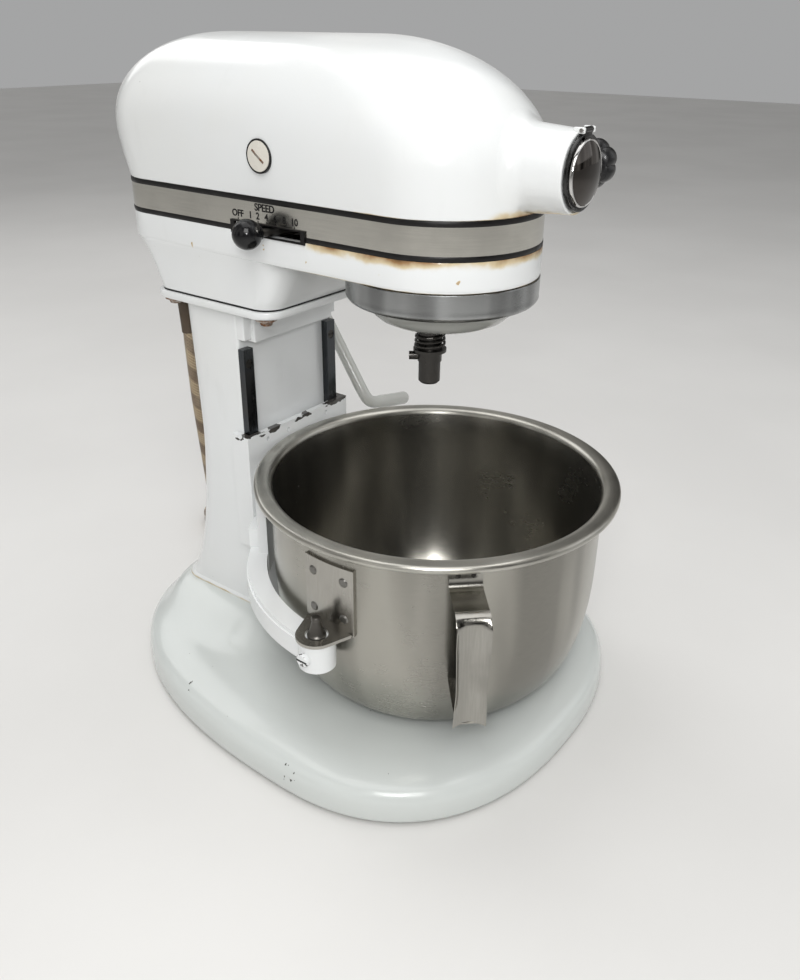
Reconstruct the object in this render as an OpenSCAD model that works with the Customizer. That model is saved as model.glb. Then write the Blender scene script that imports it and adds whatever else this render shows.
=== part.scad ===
// Stand mixer with a lift bowl.
// Frame: +Z up, nose towards -Y, speed lever on the -X side, lift lever on the +X side.
// The origin is at the bottom centre of the whole mixer, cord aside. Millimetres.

/* [Overall] */
// Height of the head's crown above the table
total_height = 419; // [400:1:440]
// Width of the base across its widest point
base_width = 287; // [270:1:300]
// Length of the base from front to rear
base_length = 340; // [330:1:350]
// Distance from the origin forward to the planetary axis
axis_forward = 57; // [54:1:60]

/* [Head] */
// Half width of the head at the nose
nose_radius = 56; // [52:0.5:60]
// Half width of the head's flank along the trim band
flank_half = 53.5; // [50:0.5:56]
// Largest half width of the upper shell
head_half = 59; // [56:0.5:62]
// Wall thickness of the castings
wall = 4; // [3:0.5:5]
// Height of the attachment hub's axis
hub_z = 358.6; // [355:0.2:362]
// Outer radius of the attachment hub
hub_r = 20.5; // [19:0.5:23]
// Radius of the socket inside the hub
socket_r = 15.5; // [14:0.5:16]

/* [Planetary] */
// Orbit radius of the beater shaft
orbit = 21; // [18:0.5:24]
// Diameter of the beater shaft's free end
shaft_d = 12.7; // [12:0.1:13]
// Outer radius of the drip ring
drip_r = 56; // [54:0.5:58]

/* [Bowl] */
// Outer radius of the bowl's wall
bowl_r = 106; // [100:0.5:106]
// Outer radius of the bowl's rolled rim
rim_r = 116.3; // [112:0.1:117]
// Height of the bowl from its underside to the rim
bowl_h = 138; // [130:1:140]
// Thickness of the bowl's sheet
bowl_t = 1.4; // [1:0.1:2]
// Direction of the bowl handle, counterclockwise from +X
handle_angle = 223.5; // [215:0.5:235]

/* [Lift] */
// Travel of the yoke up the rails
lift_travel = 55; // [45:1:60]
// Half width of the column
column_half = 45; // [42:0.5:46]

/* [Cord] */
// Diameter of the cloth-covered cord
cord_d = 7; // [6:0.5:8]

/* [Hidden] */

ay = -axis_forward;
top = total_height;
deck = 27;
pad = 39;
flange_z = 261;
case_z = 267;
skirt_z = 298;
band_lo = 315;
band_hi = 335.7;
bowl_z = 31;
rim_z = bowl_z + bowl_h;
seat_z = 108.5;
pin_x = 118.5;
bulge_z = 365;
motor_z = hub_z;
brush_y = 84;
motor_y = 127;
bx = -20; // beater shaft offset from the planetary axis at rest
by = -6.4;
pinion_r = orbit / 2;
ring_r = orbit + pinion_r;
lever_y = 150; // axis of the lift shaft
lever_z = 240;
slot_z = 317.5; // middle of the speed lever's slot
slot_y = [58, 111]; // ends of its opening
yoke_lo = 92;
yoke_top = 177;
slide_y = 122; // front of the rails
rail_lo = 84;
rail_top = yoke_top + lift_travel + 4;
exit_x = -31; // the cord leaves the flange here
exit_y = 190.5;
hinge_y = -82.6; // pin of the hub's cover
hinge_z = hub_z + 20.3;
knob_y = -70; // locking screw of the hub
flange_xy = [for (x = [-43.5, 43.5], y = [101, 185]) [x, y]];
$fn = 64;

white = [0.93, 0.94, 0.93];
steel = [0.72, 0.72, 0.70];
dark = [0.12, 0.12, 0.13];
black = [0.04, 0.04, 0.04];
brass = [0.72, 0.55, 0.25];
carbon = [0.2, 0.2, 0.2];
band_grey = [0.62, 0.60, 0.54];
braid = [0.42, 0.33, 0.2];

module at_axis() translate([0, ay, 0]) children();

// ---------- outlines ----------

function sgn(v) = v < 0 ? -1 : 1;
function quarter(u, n) = pow(max(0, 1 - pow(min(1, max(0, u)), n)), 1 / n);

// Outline of the head in plan: elliptic nose, straight flanks, rounded rear corners.
function head_plan(w, wr, ln, cn, yr, rc, s = 6) = concat(
  [for (a = [180 : s : 360]) [w * cos(a), cn + ln * sin(a)]],
  [for (a = [0 : 15 : 90]) [wr - rc + rc * cos(a), yr - rc + rc * sin(a)]],
  [for (a = [90 : 15 : 180]) [-(wr - rc) + rc * cos(a), yr - rc + rc * sin(a)]]);

// Band-level outline, drawn in by an inset.
module band_plan(i = 0)
  polygon(head_plan(nose_radius - i, flank_half - i, nose_radius - i, 0, 225 - i, 32 - i));

// Half width, front and rear of the upper shell at height z.
function shell_w(z) = z > bulge_z
  ? 5 + (head_half - 5) * quarter((z - bulge_z) / (top - bulge_z), 2.3)
  : head_half - (head_half - nose_radius) * pow((bulge_z - z) / (bulge_z - band_hi), 1.6);
function shell_front(z) = z > 358
  ? -nose_radius + 100 * (1 - quarter((z - 358) / (top - 358), 2)) : -nose_radius;
function shell_rear(z) = z > 368
  ? 230 - 75 * (1 - quarter((z - 368) / (top - 368), 2))
  : 230 - 5 * pow((368 - z) / (368 - band_hi), 1.5);
function shell_nose(z) = nose_radius + 22 * pow(max(0, z - 358) / (top - 358), 1.3);

SHELL_LEVELS = [0, 0.13, 0.26, 0.38, 0.49, 0.59, 0.68, 0.76, 0.83, 0.89, 0.935, 0.97, 0.99, 1];

module shell_solid(i = 0)
  hull() for (k = SHELL_LEVELS) let (z = band_hi + k * (top - band_hi),
      w = shell_w(z), ln = shell_nose(z), yr = shell_rear(z),
      wr = w - 2.5 * (1 - k))
    translate([0, 0, z - i * k]) linear_extrude(0.02)
      polygon(head_plan(w - min(i, w - 2), wr - min(i, wr - 1.9), ln - i, shell_front(z) + ln, yr - i,
        min(0.62 * wr, 34 + 12 * k) - min(i, 0.3 * wr)));

// Superellipse outline of the base, drawn in by an inset. It is widest a little behind the axis.
widest_y = 16;
base_front = 126;
function base_pts(i, n = 2.4) = [for (a = [0 : 5 : 355])
  let (b = sin(a) < 0 ? base_front : base_length - base_front)
  [(base_width / 2 - i) * sgn(cos(a)) * pow(abs(cos(a)), 2 / n),
   widest_y + (b - i) * sgn(sin(a)) * pow(abs(sin(a)), 2 / n)]];

module base_slab(levels)
  hull() for (l = levels) translate([0, 0, l[0]]) linear_extrude(0.02) polygon(base_pts(l[1]));

module rounded(w, y0, y1, r) polygon(concat(
  [for (a = [180 : 15 : 270]) [-(w - r) + r * cos(a), y0 + r + r * sin(a)]],
  [for (a = [270 : 15 : 360]) [(w - r) + r * cos(a), y0 + r + r * sin(a)]],
  [for (a = [0 : 15 : 90]) [(w - r) + r * cos(a), y1 - r + r * sin(a)]],
  [for (a = [90 : 15 : 180]) [-(w - r) + r * cos(a), y1 - r + r * sin(a)]]));

// Cylinder between two points.
module bar(a, b, r) {
  d = b - a;
  l = norm(d);
  translate(a) rotate([0, acos(d[2] / l), atan2(d[1], d[0])]) cylinder(h = l, r = r);
}

module bar_x(x0, x1, y, z, r) translate([x0, y, z]) rotate([0, 90, 0]) cylinder(h = x1 - x0, r = r);
module bar_y(y0, y1, x, z, r) translate([x, y1, z]) rotate([90, 0, 0]) cylinder(h = y1 - y0, r = r);

// ---------- swept tube ----------

function unit(v) = v / norm(v);
function tangents(p) = [for (i = [0 : len(p) - 1])
  unit(p[min(i + 1, len(p) - 1)] - p[max(i - 1, 0)])];
function settle(n, t) = unit(n - (n * t) * t);
function normals(t, i = 0, n = [1, 0.01, 0.02]) = let (m = settle(n, t[i]))
  i == len(t) - 1 ? [m] : concat([m], normals(t, i + 1, m));

module tube(p, r, s = 10) {
  t = tangents(p);
  n = normals(t);
  c = len(p);
  pts = [for (i = [0 : c - 1]) let (b = cross(t[i], n[i]))
    for (k = [0 : s - 1]) p[i] + r * (cos(360 * k / s) * n[i] + sin(360 * k / s) * b)];
  faces = concat([[for (k = [0 : s - 1]) k]],
    [for (i = [0 : c - 2], k = [0 : s - 1])
      [i * s + k, (i + 1) * s + k, (i + 1) * s + (k + 1) % s, i * s + (k + 1) % s]],
    [[for (k = [s - 1 : -1 : 0]) (c - 1) * s + k]]);
  polyhedron(points = pts, faces = faces, convexity = 8);
}

// ---------- base and column ----------

foot_xy = [[-98, -45], [98, -45], [-104, 120], [104, 120], [0, 205]];
bolt_xy = [[-30, 142], [30, 142], [-28, 182], [28, 182]];

module base_casting() color(white) at_axis() difference() {
  union() {
    base_slab([[2.5, 0.8], [5, 0], [14, 0.3], [19, 2.2], [23, 6], [25.6, 12], [deck, 21]]);
    hull() {
      translate([0, 0, deck - 2]) linear_extrude(0.02) rounded(86, 88, 216, 40);
      translate([0, 0, pad - 4]) linear_extrude(0.02) rounded(64, 104, 218, 28);
      translate([0, 0, pad - 0.02]) linear_extrude(0.02) rounded(55, 110, 216.5, 20);
    }
  }
  difference() {
    base_slab([[-1, 6], [14, 6.5], [deck - 6, 16]]);
    for (p = foot_xy) translate([p[0], p[1], -2]) cylinder(h = 60, r = 9);
    for (p = bolt_xy) translate([p[0], p[1], -2]) cylinder(h = 60, r = 9);
  }
  for (p = bolt_xy) translate([p[0], p[1], -1]) {
    cylinder(h = 80, r = 4.2);
    cylinder(h = 15, r = 7.5);
  }
  for (p = foot_xy) translate([p[0], p[1], -1]) cylinder(h = 14, r = 4);
}

module rubber_feet() color(black) at_axis() for (p = foot_xy) translate([p[0], p[1], 0]) {
  cylinder(h = 2.5, r = 8.5);
  cylinder(h = 10, r = 4);
}

module column_bolts() color(steel) at_axis() for (p = bolt_xy) translate([p[0], p[1], 8]) {
  translate([0, 0, 1]) cylinder(h = 5, r = 6.5, $fn = 6);
  translate([0, 0, 6]) cylinder(h = 42, r = 4);
}

// Height, half width, front, rear and corner radius of the column's sections.
COLUMN = [[pad, 47, 120, 205, 18], [56, 46, 124, 196, 18], [82, column_half, 127, 189, 18],
  [116, column_half, 127, 183, 18], [160, column_half, 127, 179, 18],
  [flange_z + 0.1, column_half, 127, 183, 18]];

module column() color(white) at_axis() difference() {
  union() {
    for (k = [0 : len(COLUMN) - 2]) hull() for (l = [COLUMN[k], COLUMN[k + 1]])
      translate([0, 0, l[0] - (k > 0 && l[0] == COLUMN[k][0] ? 0.01 : 0)]) linear_extrude(0.02)
        column_plan(l);
    // stop above the yoke's slide
    translate([-38, 118, rail_top + 4]) cube([76, 12, flange_z - rail_top - 3]);
    translate([0, 0, flange_z]) linear_extrude(case_z - flange_z) rounded(52, 91, 199, 14);
  }
  translate([0, 0, pad - 1]) linear_extrude(flange_z - pad - 6) rounded(column_half - 6, 133, 172, 8);
  // lift shaft bore
  bar_x(-42.2, 60, lever_y, lever_z, 7.06);
  // bolt holes from the base
  for (p = bolt_xy) translate([p[0], p[1], pad - 1]) cylinder(h = 18.2, r = 4.05);
  // cord hole
  translate([exit_x, exit_y, flange_z - 1]) cylinder(h = 10, r = 5);
  // flange screw holes
  for (p = flange_xy) translate([p[0], p[1], flange_z - 1]) cylinder(h = 10, r = 2.6);
  // rail screw holes
  for (s = [-1, 1], z = RAIL_Z) bar_y(126, 139, s * 40.7, z, 1.55);
}

module column_plan(l) {
  w = l[1];
  r = l[4];
  polygon(concat([[-w, l[2]], [w, l[2]]],
    [for (a = [0 : 15 : 90]) [(w - r) + r * cos(a), l[3] - r + r * sin(a)]],
    [for (a = [90 : 15 : 180]) [-(w - r) + r * cos(a), l[3] - r + r * sin(a)]]));
}

RAIL_Z = [rail_lo + 12, (rail_lo + rail_top) / 2, rail_top - 10];

module slide_rails() color(steel) at_axis() difference() {
  for (s = [-1, 1]) translate([s * 40.7 - 4.2, slide_y, rail_lo]) cube([8.4, 5, rail_top - rail_lo]);
  for (s = [-1, 1], z = RAIL_Z) {
    bar_y(120, 130, s * 40.7, z, 1.55);
    bar_y(121.9, 124.1, s * 40.7, z, 3.1);
  }
}

module rail_screws() color(dark) at_axis() for (s = [-1, 1], z = RAIL_Z) difference() {
  union() {
    bar_y(122.3, 124.1, s * 40.7, z, 3);
    bar_y(124, 137, s * 40.7, z, 1.5);
  }
  translate([s * 40.7 - 4, 121, z - 0.4]) cube([8, 1.9, 0.8]);
}

module flange_screws() color(steel) at_axis()
  for (p = flange_xy) translate([p[0], p[1], 0]) difference() {
    union() {
      translate([0, 0, flange_z - 4.2]) cylinder(h = 3, r1 = 3.6, r2 = 4.8);
      translate([0, 0, flange_z - 1.3]) cylinder(h = 9.2, r = 2.5);
    }
    translate([-6, -0.5, flange_z - 5]) cube([12, 1, 2]);
  }

module flange_washers() color(steel) at_axis()
  for (p = flange_xy) translate([p[0], p[1], flange_z - 1.2]) difference() {
    cylinder(h = 1.2, r = 6.6);
    translate([0, 0, -1]) cylinder(h = 4, r = 2.55);
  }

// ---------- head ----------

module case_box(i = 0) hull() {
  translate([0, 0, case_z + (i > 0 ? -1 : 0)]) linear_extrude(0.02)
    rounded(50 - i, 92 + i, 197 - i, 14 - i / 2);
  translate([0, 0, 288]) linear_extrude(0.02) rounded(51.5 - i, 82 + i, 207 - i, 18 - i / 2);
  translate([0, 0, skirt_z]) linear_extrude(0.02) rounded(53 - i, 76 + i, 219 - i, 26 - i / 2);
}

// Outer face of the band on the speed lever's side follows this line.
function flank_x(y) = -(nose_radius + (flank_half - nose_radius) * y / 193);

// Frame round the speed lever's slot, set into the band and standing proud of it.
module slot_frame() let (y0 = slot_y[0] - 3, y1 = slot_y[1] + 3)
  translate([0, 0, slot_z - 3.8]) linear_extrude(7.6) polygon([
    [flank_x(y0) + 1.4, y0], [flank_x(y1) + 1.4, y1], [flank_x(y1) - 0.8, y1], [flank_x(y0) - 0.8, y0]]);

// Space of the speed lever's slot, longer by a margin at each end and of a given half height.
module slot_cut(m, h)
  translate([-70, slot_y[0] - m, slot_z - h]) cube([30, slot_y[1] - slot_y[0] + 2 * m, 2 * h]);

module gearcase() color(white) difference() {
  at_axis() difference() {
    union() {
      case_box();
      translate([0, 0, skirt_z]) linear_extrude(band_lo - skirt_z) band_plan(0);
      translate([0, 0, band_lo - 1]) linear_extrude(band_hi - band_lo + 1) band_plan(1.4);
    }
    // motor space over the column, open upwards
    case_box(wall);
    translate([0, 0, skirt_z + 2]) linear_extrude(60) band_plan(1.4 + wall);
    // opening for the planetary
    translate([0, 0, skirt_z - 2]) cylinder(h = 10, r = ring_r + 1.5);
    // slot of the speed lever
    slot_cut(0, 3.2);
    slot_frame();
    // cord and screws through the floor
    translate([exit_x, exit_y, case_z - 4]) cylinder(h = 12, r = 5);
    for (p = flange_xy) translate([p[0], p[1], case_z - 2]) cylinder(h = 10, r = 2.6);
  }
}

module head_shell() color(white) at_axis() difference() {
  union() {
    shell_solid();
    bar_y(-80.6, -38, 0, hub_z, hub_r);
    translate([0, -78, hub_z]) rotate([-90, 0, 0]) cylinder(h = 34, r1 = hub_r, r2 = hub_r + 2.6);
    // hinge lugs of the hub cover
    for (s = [-1, 1]) hull() {
      bar_x(s * 5.5 - 1.5, s * 5.5 + 1.5, hinge_y, hinge_z, 1.8);
      translate([s * 5.5 - 1.5, -76, hub_z + 17.6]) cube([3, 4, 2.4]);
    }
    // locking screw boss
    bar_x(15, 24, knob_y, hub_z, 7);
  }
  difference() {
    shell_solid(wall);
    bar_y(-60, -38, 0, hub_z, hub_r);
  }
  // socket and drive shaft bearing
  bar_y(-90, -48, 0, hub_z, socket_r);
  bar_y(-90, -30, 0, hub_z, 7.06);
  bar_x(-10, 40, knob_y, hub_z, 3.05);
  bar_x(-12, 12, hinge_y, hinge_z, 1.05);
  // brush tube holes
  for (s = [-1, 1]) bar_x(s > 0 ? 40 : -70, s > 0 ? 70 : -40, brush_y, motor_z, 9.3);
  // keep the rim of the shell above the band
  translate([-100, -100, 300]) cube([200, 400, band_hi - 300]);
}

module trim_band() color(band_grey) at_axis() difference() {
  translate([0, 0, band_lo + 3]) linear_extrude(band_hi - band_lo - 6) difference() {
    band_plan(0.25);
    band_plan(1.4);
  }
  slot_cut(3, 3.8);
}

module trim_stripes() color(black) at_axis() difference() {
  for (z = [band_lo, band_hi - 3]) translate([0, 0, z]) linear_extrude(3) difference() {
    band_plan(0);
    band_plan(1.4);
  }
  slot_cut(3, 3.8);
}

module slot_plate() color(black) at_axis() difference() {
  slot_frame();
  slot_cut(0, 3.1);
}

// Raised marks of the speed scale: a bar for off and one tick for each speed.
module speed_scale() color(black) at_axis() for (k = [0 : 6]) let (y = k == 0 ? 108 : 105 - 7 * k)
  translate([flank_x(y) - 0.1, y - (k == 0 ? 3 : 0.5), slot_z + 6]) cube([0.3, k == 0 ? 6 : 1, 3]);

module brush_caps() color(white) at_axis() for (s = [-1, 1]) difference() {
  bar_x(s > 0 ? 50.5 : -59.6, s > 0 ? 59.6 : -50.5, brush_y, motor_z, 9.15);
  translate([s * 59.2 - 0.6, brush_y - 6, motor_z - 0.8]) cube([1.2, 12, 1.6]);
}

module brush_tubes() color(brass) at_axis() for (s = [-1, 1]) difference() {
  bar_x(s > 0 ? 15 : -50.4, s > 0 ? 50.4 : -15, brush_y, motor_z, 6.5);
  translate([s * 33 - 20, brush_y - 3.6, motor_z - 3.6]) cube([40, 7.2, 7.2]);
}

module carbon_brushes() color(carbon) at_axis() for (s = [-1, 1])
  translate([s * 22 - 8.4, brush_y - 3.4, motor_z - 3.4]) cube([16.8, 6.8, 6.8]);

module brush_springs() color(steel) at_axis() for (s = [-1, 1])
  tube([for (k = [0 : 60])
    [s * (31.3 + k * 0.3), brush_y + 2.7 * cos(k * 36), motor_z + 2.7 * sin(k * 36)]], 0.4, 6);

module motor_field() color(dark) at_axis() difference() {
  bar_y(motor_y - 23, motor_y + 23, 0, motor_z, 41);
  bar_y(100, 160, 0, motor_z, 24);
  for (s = [-1, 1]) translate([s * 45 - 8, 100, motor_z - 12]) cube([16, 60, 24]);
}

module motor_bearings() color(steel) at_axis() {
  for (y = [62, 194]) difference() {
    bar_y(y, y + 9, 0, motor_z, 12);
    bar_y(y - 1, y + 10, 0, motor_z, 5.04);
  }
}

module ring_gear() color(steel) at_axis() translate([0, 0, skirt_z + 2.2]) difference() {
  cylinder(h = 8, r = 41);
  translate([0, 0, -1]) linear_extrude(10) polygon(gear(ring_r + 2, ring_r + 0.5, 48));
}

// Toothed outline: outer and inner radius, tooth count.
function gear(ro, ri, n) = [for (k = [0 : n - 1], j = [0 : 3])
  let (a = 360 * (k + [-0.32, -0.14, 0.14, 0.32][j]) / n, r = [ri, ro, ro, ri][j]) [r * cos(a), r * sin(a)]];

module drip_ring() color(steel) at_axis() rotate_extrude($fn = 96) polygon([
  [drip_r - 9, 283.5], [drip_r - 6, 282.5], [drip_r - 3.2, 282.5], [drip_r - 1.4, 283.3],
  [drip_r - 0.5, 285], [drip_r, 290], [drip_r, skirt_z], [drip_r - 3, skirt_z],
  [drip_r - 3, 286], [drip_r - 9, 285.5]]);

module hub_cover() color(steel) at_axis() difference() {
  union() {
    translate([0, 0, hub_z]) rotate([90, 0, 0]) rotate_extrude($fn = 96) polygon([
      [0, 80.9], [18.2, 80.9], [18.8, 81.6], [18.6, 83.2], [17.2, 83.8], [16.4, 83.2], [15.5, 83.2],
      [14.5, 84.3], [9, 86.2], [0, 87.2]]);
    bar_x(-3.8, 3.8, hinge_y, hinge_z, 1.8);
    translate([-3.8, hinge_y - 1.4, hub_z + 16.5]) cube([7.6, 2.2, 3.8]);
  }
  bar_x(-5, 5, hinge_y, hinge_z, 1.06);
}

module hub_hinge_pin() color(steel) at_axis() bar_x(-7.2, 7.2, hinge_y, hinge_z, 1);

module knob_screw() color(steel) at_axis() bar_x(16, 30, knob_y, hub_z, 2.98);

module attachment_knob() color(black) at_axis()
  translate([26.5, knob_y, hub_z]) rotate([0, 90, 0]) difference() {
  union() {
    cylinder(h = 4, r1 = 6, r2 = 9);
    translate([0, 0, 4]) cylinder(h = 10, r = 11.2);
    for (k = [0 : 6]) rotate(k * 360 / 7) translate([9.8, 0, 3.5]) cylinder(h = 10, r = 3.1, $fn = 24);
    translate([0, 0, 14]) cylinder(h = 2, r1 = 11.2, r2 = 8);
  }
  translate([0, 0, -1]) cylinder(h = 5, r = 3);
}

// ---------- drive train ----------

module armature_shaft() color(steel) at_axis() difference() {
  union() {
    bar_y(20, 206, 0, motor_z, 4.98);
    bar_y(27, 54, 0, motor_z, 6.2);
  }
  for (y = [29 : 3.4 : 53]) translate([0, y, motor_z]) rotate([90, 0, 0]) difference() {
    cylinder(h = 1.4, r = 8);
    translate([0, 0, -1]) cylinder(h = 4, r = 5.2);
  }
}

module armature_core() color(dark) at_axis() difference() {
  bar_y(motor_y - 21, motor_y + 21, 0, motor_z, 23);
  bar_y(100, 160, 0, motor_z, 4.98);
  for (k = [0 : 11]) translate([0, 0, motor_z]) rotate([0, k * 30, 0])
    translate([-1, 100, 18]) cube([2, 60, 8]);
}

module commutator() color(brass) at_axis() difference() {
  bar_y(brush_y - 10, brush_y + 9, 0, motor_z, 13);
  bar_y(70, 110, 0, motor_z, 4.98);
}

module cooling_fan() color(dark) at_axis() difference() {
  union() {
    bar_y(160, 163, 0, motor_z, 36);
    bar_y(160, 176, 0, motor_z, 9);
    for (k = [0 : 8]) translate([0, 0, motor_z]) rotate([0, k * 40, 0])
      translate([-1, 162.5, 12]) cube([2, 12, 22]);
  }
  bar_y(150, 180, 0, motor_z, 4.98);
}

dx = 22.6; // vertical drive shaft position from the planetary axis
dy = 40.6;

module drive_shaft() color(steel) at_axis() translate([dx, dy, 303]) cylinder(h = 66, r = 4);

module worm_wheel() color(brass) at_axis() translate([dx, dy, 353.2]) difference() {
  linear_extrude(10.8) polygon(gear(16.1, 14.4, 30));
  translate([0, 0, -1]) cylinder(h = 14, r = 4);
}

module drive_pinion() color(steel) at_axis() translate([dx, dy, 329]) difference() {
  linear_extrude(12) polygon(gear(10, 8.6, 14));
  translate([0, 0, -1]) cylinder(h = 14, r = 4);
}

module centre_gear() color(steel) at_axis() translate([0, 0, 330]) difference() {
  linear_extrude(8) polygon(gear(36.2, 34.4, 50));
  translate([0, 0, -1]) cylinder(h = 12, r = 6);
}

shaft_r = shaft_d / 2 + 0.65; // the beater shaft above its free end

module centre_shaft() color(steel) at_axis() translate([0, 0, 292]) cylinder(h = 57, r = 6);

module planet_carrier() color(white) at_axis() difference() {
  rotate_extrude($fn = 96) polygon([[0, 268], [25, 268], [33, 270], [39.5, 274], [43.5, 279.5],
    [44.2, 284], [44.2, 292], [0, 292]]);
  translate([bx, by, 260]) cylinder(h = 40, r = shaft_r + 0.05);
}

module attachment_shaft() color(steel) at_axis() difference() {
  bar_y(-47.6, -26, 0, hub_z, 7);
  translate([-4, -48, hub_z - 4]) cube([8, 14, 8]);
}

module attachment_gear() color(steel) at_axis() translate([0, -26, hub_z]) rotate([90, 0, 0])
  translate([0, 0, -6]) linear_extrude(6) polygon(gear(20.2, 18, 24));

module at_beater() at_axis() translate([bx, by, 0]) children();

end_r = shaft_d / 2; // free end that the beaters slide on

module beater_shaft() color(dark) at_beater() difference() {
  translate([0, 0, 237.5]) union() {
    cylinder(h = 1.2, r1 = end_r - 1.2, r2 = end_r);
    translate([0, 0, 1.2]) cylinder(h = 12, r = end_r);
    translate([0, 0, 13.2]) cylinder(h = 60.3, r = shaft_r);
  }
  rotate([0, 0, 126.6]) translate([0, 0, 253.5]) rotate([0, 90, 0]) cylinder(h = 20, r = 2.45);
}

module shaft_pin() color(dark) at_beater() rotate([0, 0, 126.6]) translate([0, 0, 253.5]) rotate([0, 90, 0])
  cylinder(h = 12, r = 2.45);

module shaft_washer() color(dark) at_beater() translate([0, 0, 256.4]) difference() {
  cylinder(h = 1.8, r = 9.6);
  translate([0, 0, -1]) cylinder(h = 4, r = shaft_r);
}

module shaft_spring() color(dark) at_beater()
  tube([for (k = [0 : 48]) let (r = 8.6 - k * 0.012)
    [r * cos(k * 22.5), r * sin(k * 22.5), 259.1 + k * 0.163]], 0.8, 8);

module planet_pinion() color(steel) at_beater() translate([0, 0, skirt_z + 2.2]) difference() {
  linear_extrude(8) polygon(gear(pinion_r + 0.2, pinion_r - 1.4, 16));
  translate([0, 0, -1]) cylinder(h = 14, r = shaft_r);
}

// ---------- speed lever ----------

ball_at = [-68, 87.5, slot_z];
rod_slope = -0.364; // the rod leans rearward towards its ball
function on_rod(x) = [x, ball_at[1] + rod_slope * (x - ball_at[0]), slot_z];

module speed_rod() color(dark) at_axis() bar(on_rod(-27), on_rod(-65), 2.4);
module speed_ball() color(black) at_axis() difference() {
  translate(ball_at) sphere(r = 8.6);
  bar(on_rod(-50), on_rod(-65), 2.4);
}
module speed_slider() color(steel) at_axis() difference() {
  translate([-33, 63, slot_z - 5]) cube([10, 22, 10]);
  bar(on_rod(-27), on_rod(-42), 2.4);
}

// ---------- lift lever ----------

module lift_shaft() color(steel) at_axis() {
  bar_x(-42, 56, lever_y, lever_z, 7);
  // cam that lifts the yoke
  hull() {
    bar_x(-6, 6, lever_y, lever_z, 10);
    bar_x(-6, 6, lever_y - 5, lever_z - 4, 9);
  }
}

elbow = [60, 106, 175];
grip_in = [66, 104, 169.5];
grip_out = [104, 104, 162];
rod_r = 4.4;

module lift_rod() color(white) at_axis() difference() {
  union() {
    bar_x(48, 66, lever_y, lever_z, 10);
    bar([60, lever_y, lever_z], elbow, rod_r);
    translate(elbow) sphere(r = rod_r + 0.2);
    bar(elbow, grip_in, rod_r);
    translate(grip_in) sphere(r = rod_r + 0.2);
    bar(grip_in, grip_out, 3.2);
  }
  bar_x(40, 56, lever_y, lever_z, 7);
}

module lift_grip() color(white) at_axis() difference() {
  union() {
    bar(grip_in + 0.16 * (grip_out - grip_in), grip_out, 4.9);
    translate(grip_out) sphere(r = 5.1);
  }
  bar(grip_in, grip_out, 3.2);
}

// ---------- yoke ----------

module ring_part(r0, r1, z0, z1, a0, a1) rotate([0, 0, a0])
  rotate_extrude(angle = a1 - a0, $fn = 96) translate([r0, z0]) square([r1 - r0, z1 - z0]);

module yoke() color(white) at_axis() difference() {
  union() {
    // slider plate with cheeks that wrap the column
    translate([-51, 117.6, yoke_lo]) cube([102, 3.9, yoke_top - yoke_lo]);
    for (s = [-1, 1]) translate([s * 48.3 - 2.7, 117.6, yoke_lo]) cube([5.4, 15.4, yoke_top - yoke_lo]);
    // curved back web and arms round the bowl
    ring_part(111, 117, yoke_lo, 150, 52, 128);
    ring_part(111.2, 124.5, yoke_lo, 122, 56, 124);
    ring_part(111.2, 124.5, yoke_lo, 105, 4, 176);
    ring_part(111.2, 123.5, 104, seat_z - 0.4, 4, 176);
    for (s = [-1, 1]) translate([s * pin_x, 0, 90]) cylinder(h = seat_z - 90, r = 11.2);
  }
  for (s = [-1, 1]) translate([s * pin_x, 0, 94]) cylinder(h = 30, r = 4);
  for (s = [-1, 1]) bar_x(s > 0 ? 118 : -140, s > 0 ? 140 : -118, 0, 99, 2.5);
  for (x = [-32, -12, 28]) bar_y(110, 130, x, yoke_top - 6, 1.6);
  translate([-8, 108, 126]) cube([16, 12, 26]);
}

module yoke_pins() color(dark) at_axis() for (s = [-1, 1]) translate([s * pin_x, 0, 0]) difference() {
  union() {
    translate([0, 0, 94]) cylinder(h = seat_z - 94, r = 4);
    translate([0, 0, seat_z]) cylinder(h = 2.6, r = 6.2);
    translate([0, 0, seat_z + 2.6]) cylinder(h = 11.4, r1 = 6.2, r2 = 3);
  }
  bar_x(-12, 12, 0, 99, 2.5);
}

module yoke_set_screws() color(steel) at_axis() for (s = [-1, 1]) difference() {
  bar_x(s > 0 ? pin_x - 2.5 : -132.4, s > 0 ? 132.4 : 2.5 - pin_x, 0, 99, 2.5);
  translate([s * 132.4 - 1.2, -3, 98.6]) cube([2.4, 6, 0.8]);
}

// ---------- bowl ----------

// Points of the bowl's profile, drawn in by an inset.
function bowl_curve(i, n = 2.5) = [for (a = [90 : -6 : 0]) let (rf = 64, z1 = bowl_z + 90)
  [rf + (bowl_r - rf) * pow(cos(a), 2 / n) - i * pow(cos(a), 0.4),
   z1 - (z1 - bowl_z) * pow(sin(a), 2 / n) + i * pow(sin(a), 0.4)]];

module bowl() color(steel) at_axis() difference() {
  rotate_extrude($fn = 128) polygon(concat(
    [[0, bowl_z]], bowl_curve(0),
    [[bowl_r, rim_z - 4.4], [bowl_r + 1, rim_z - 3], [rim_r - 2.6, rim_z - 3.6], [rim_r - 1.6, rim_z - 5],
     [rim_r, rim_z - 4.4], [rim_r, rim_z - 2.2], [rim_r - 2, rim_z - 0.9], [bowl_r + 3, rim_z],
     [bowl_r, rim_z - 0.3], [bowl_r - bowl_t, rim_z - 2.4]],
    [for (k = [len(bowl_curve(0)) - 1 : -1 : 0]) bowl_curve(bowl_t)[k]],
    [[0, bowl_z + bowl_t]]));
}

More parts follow.
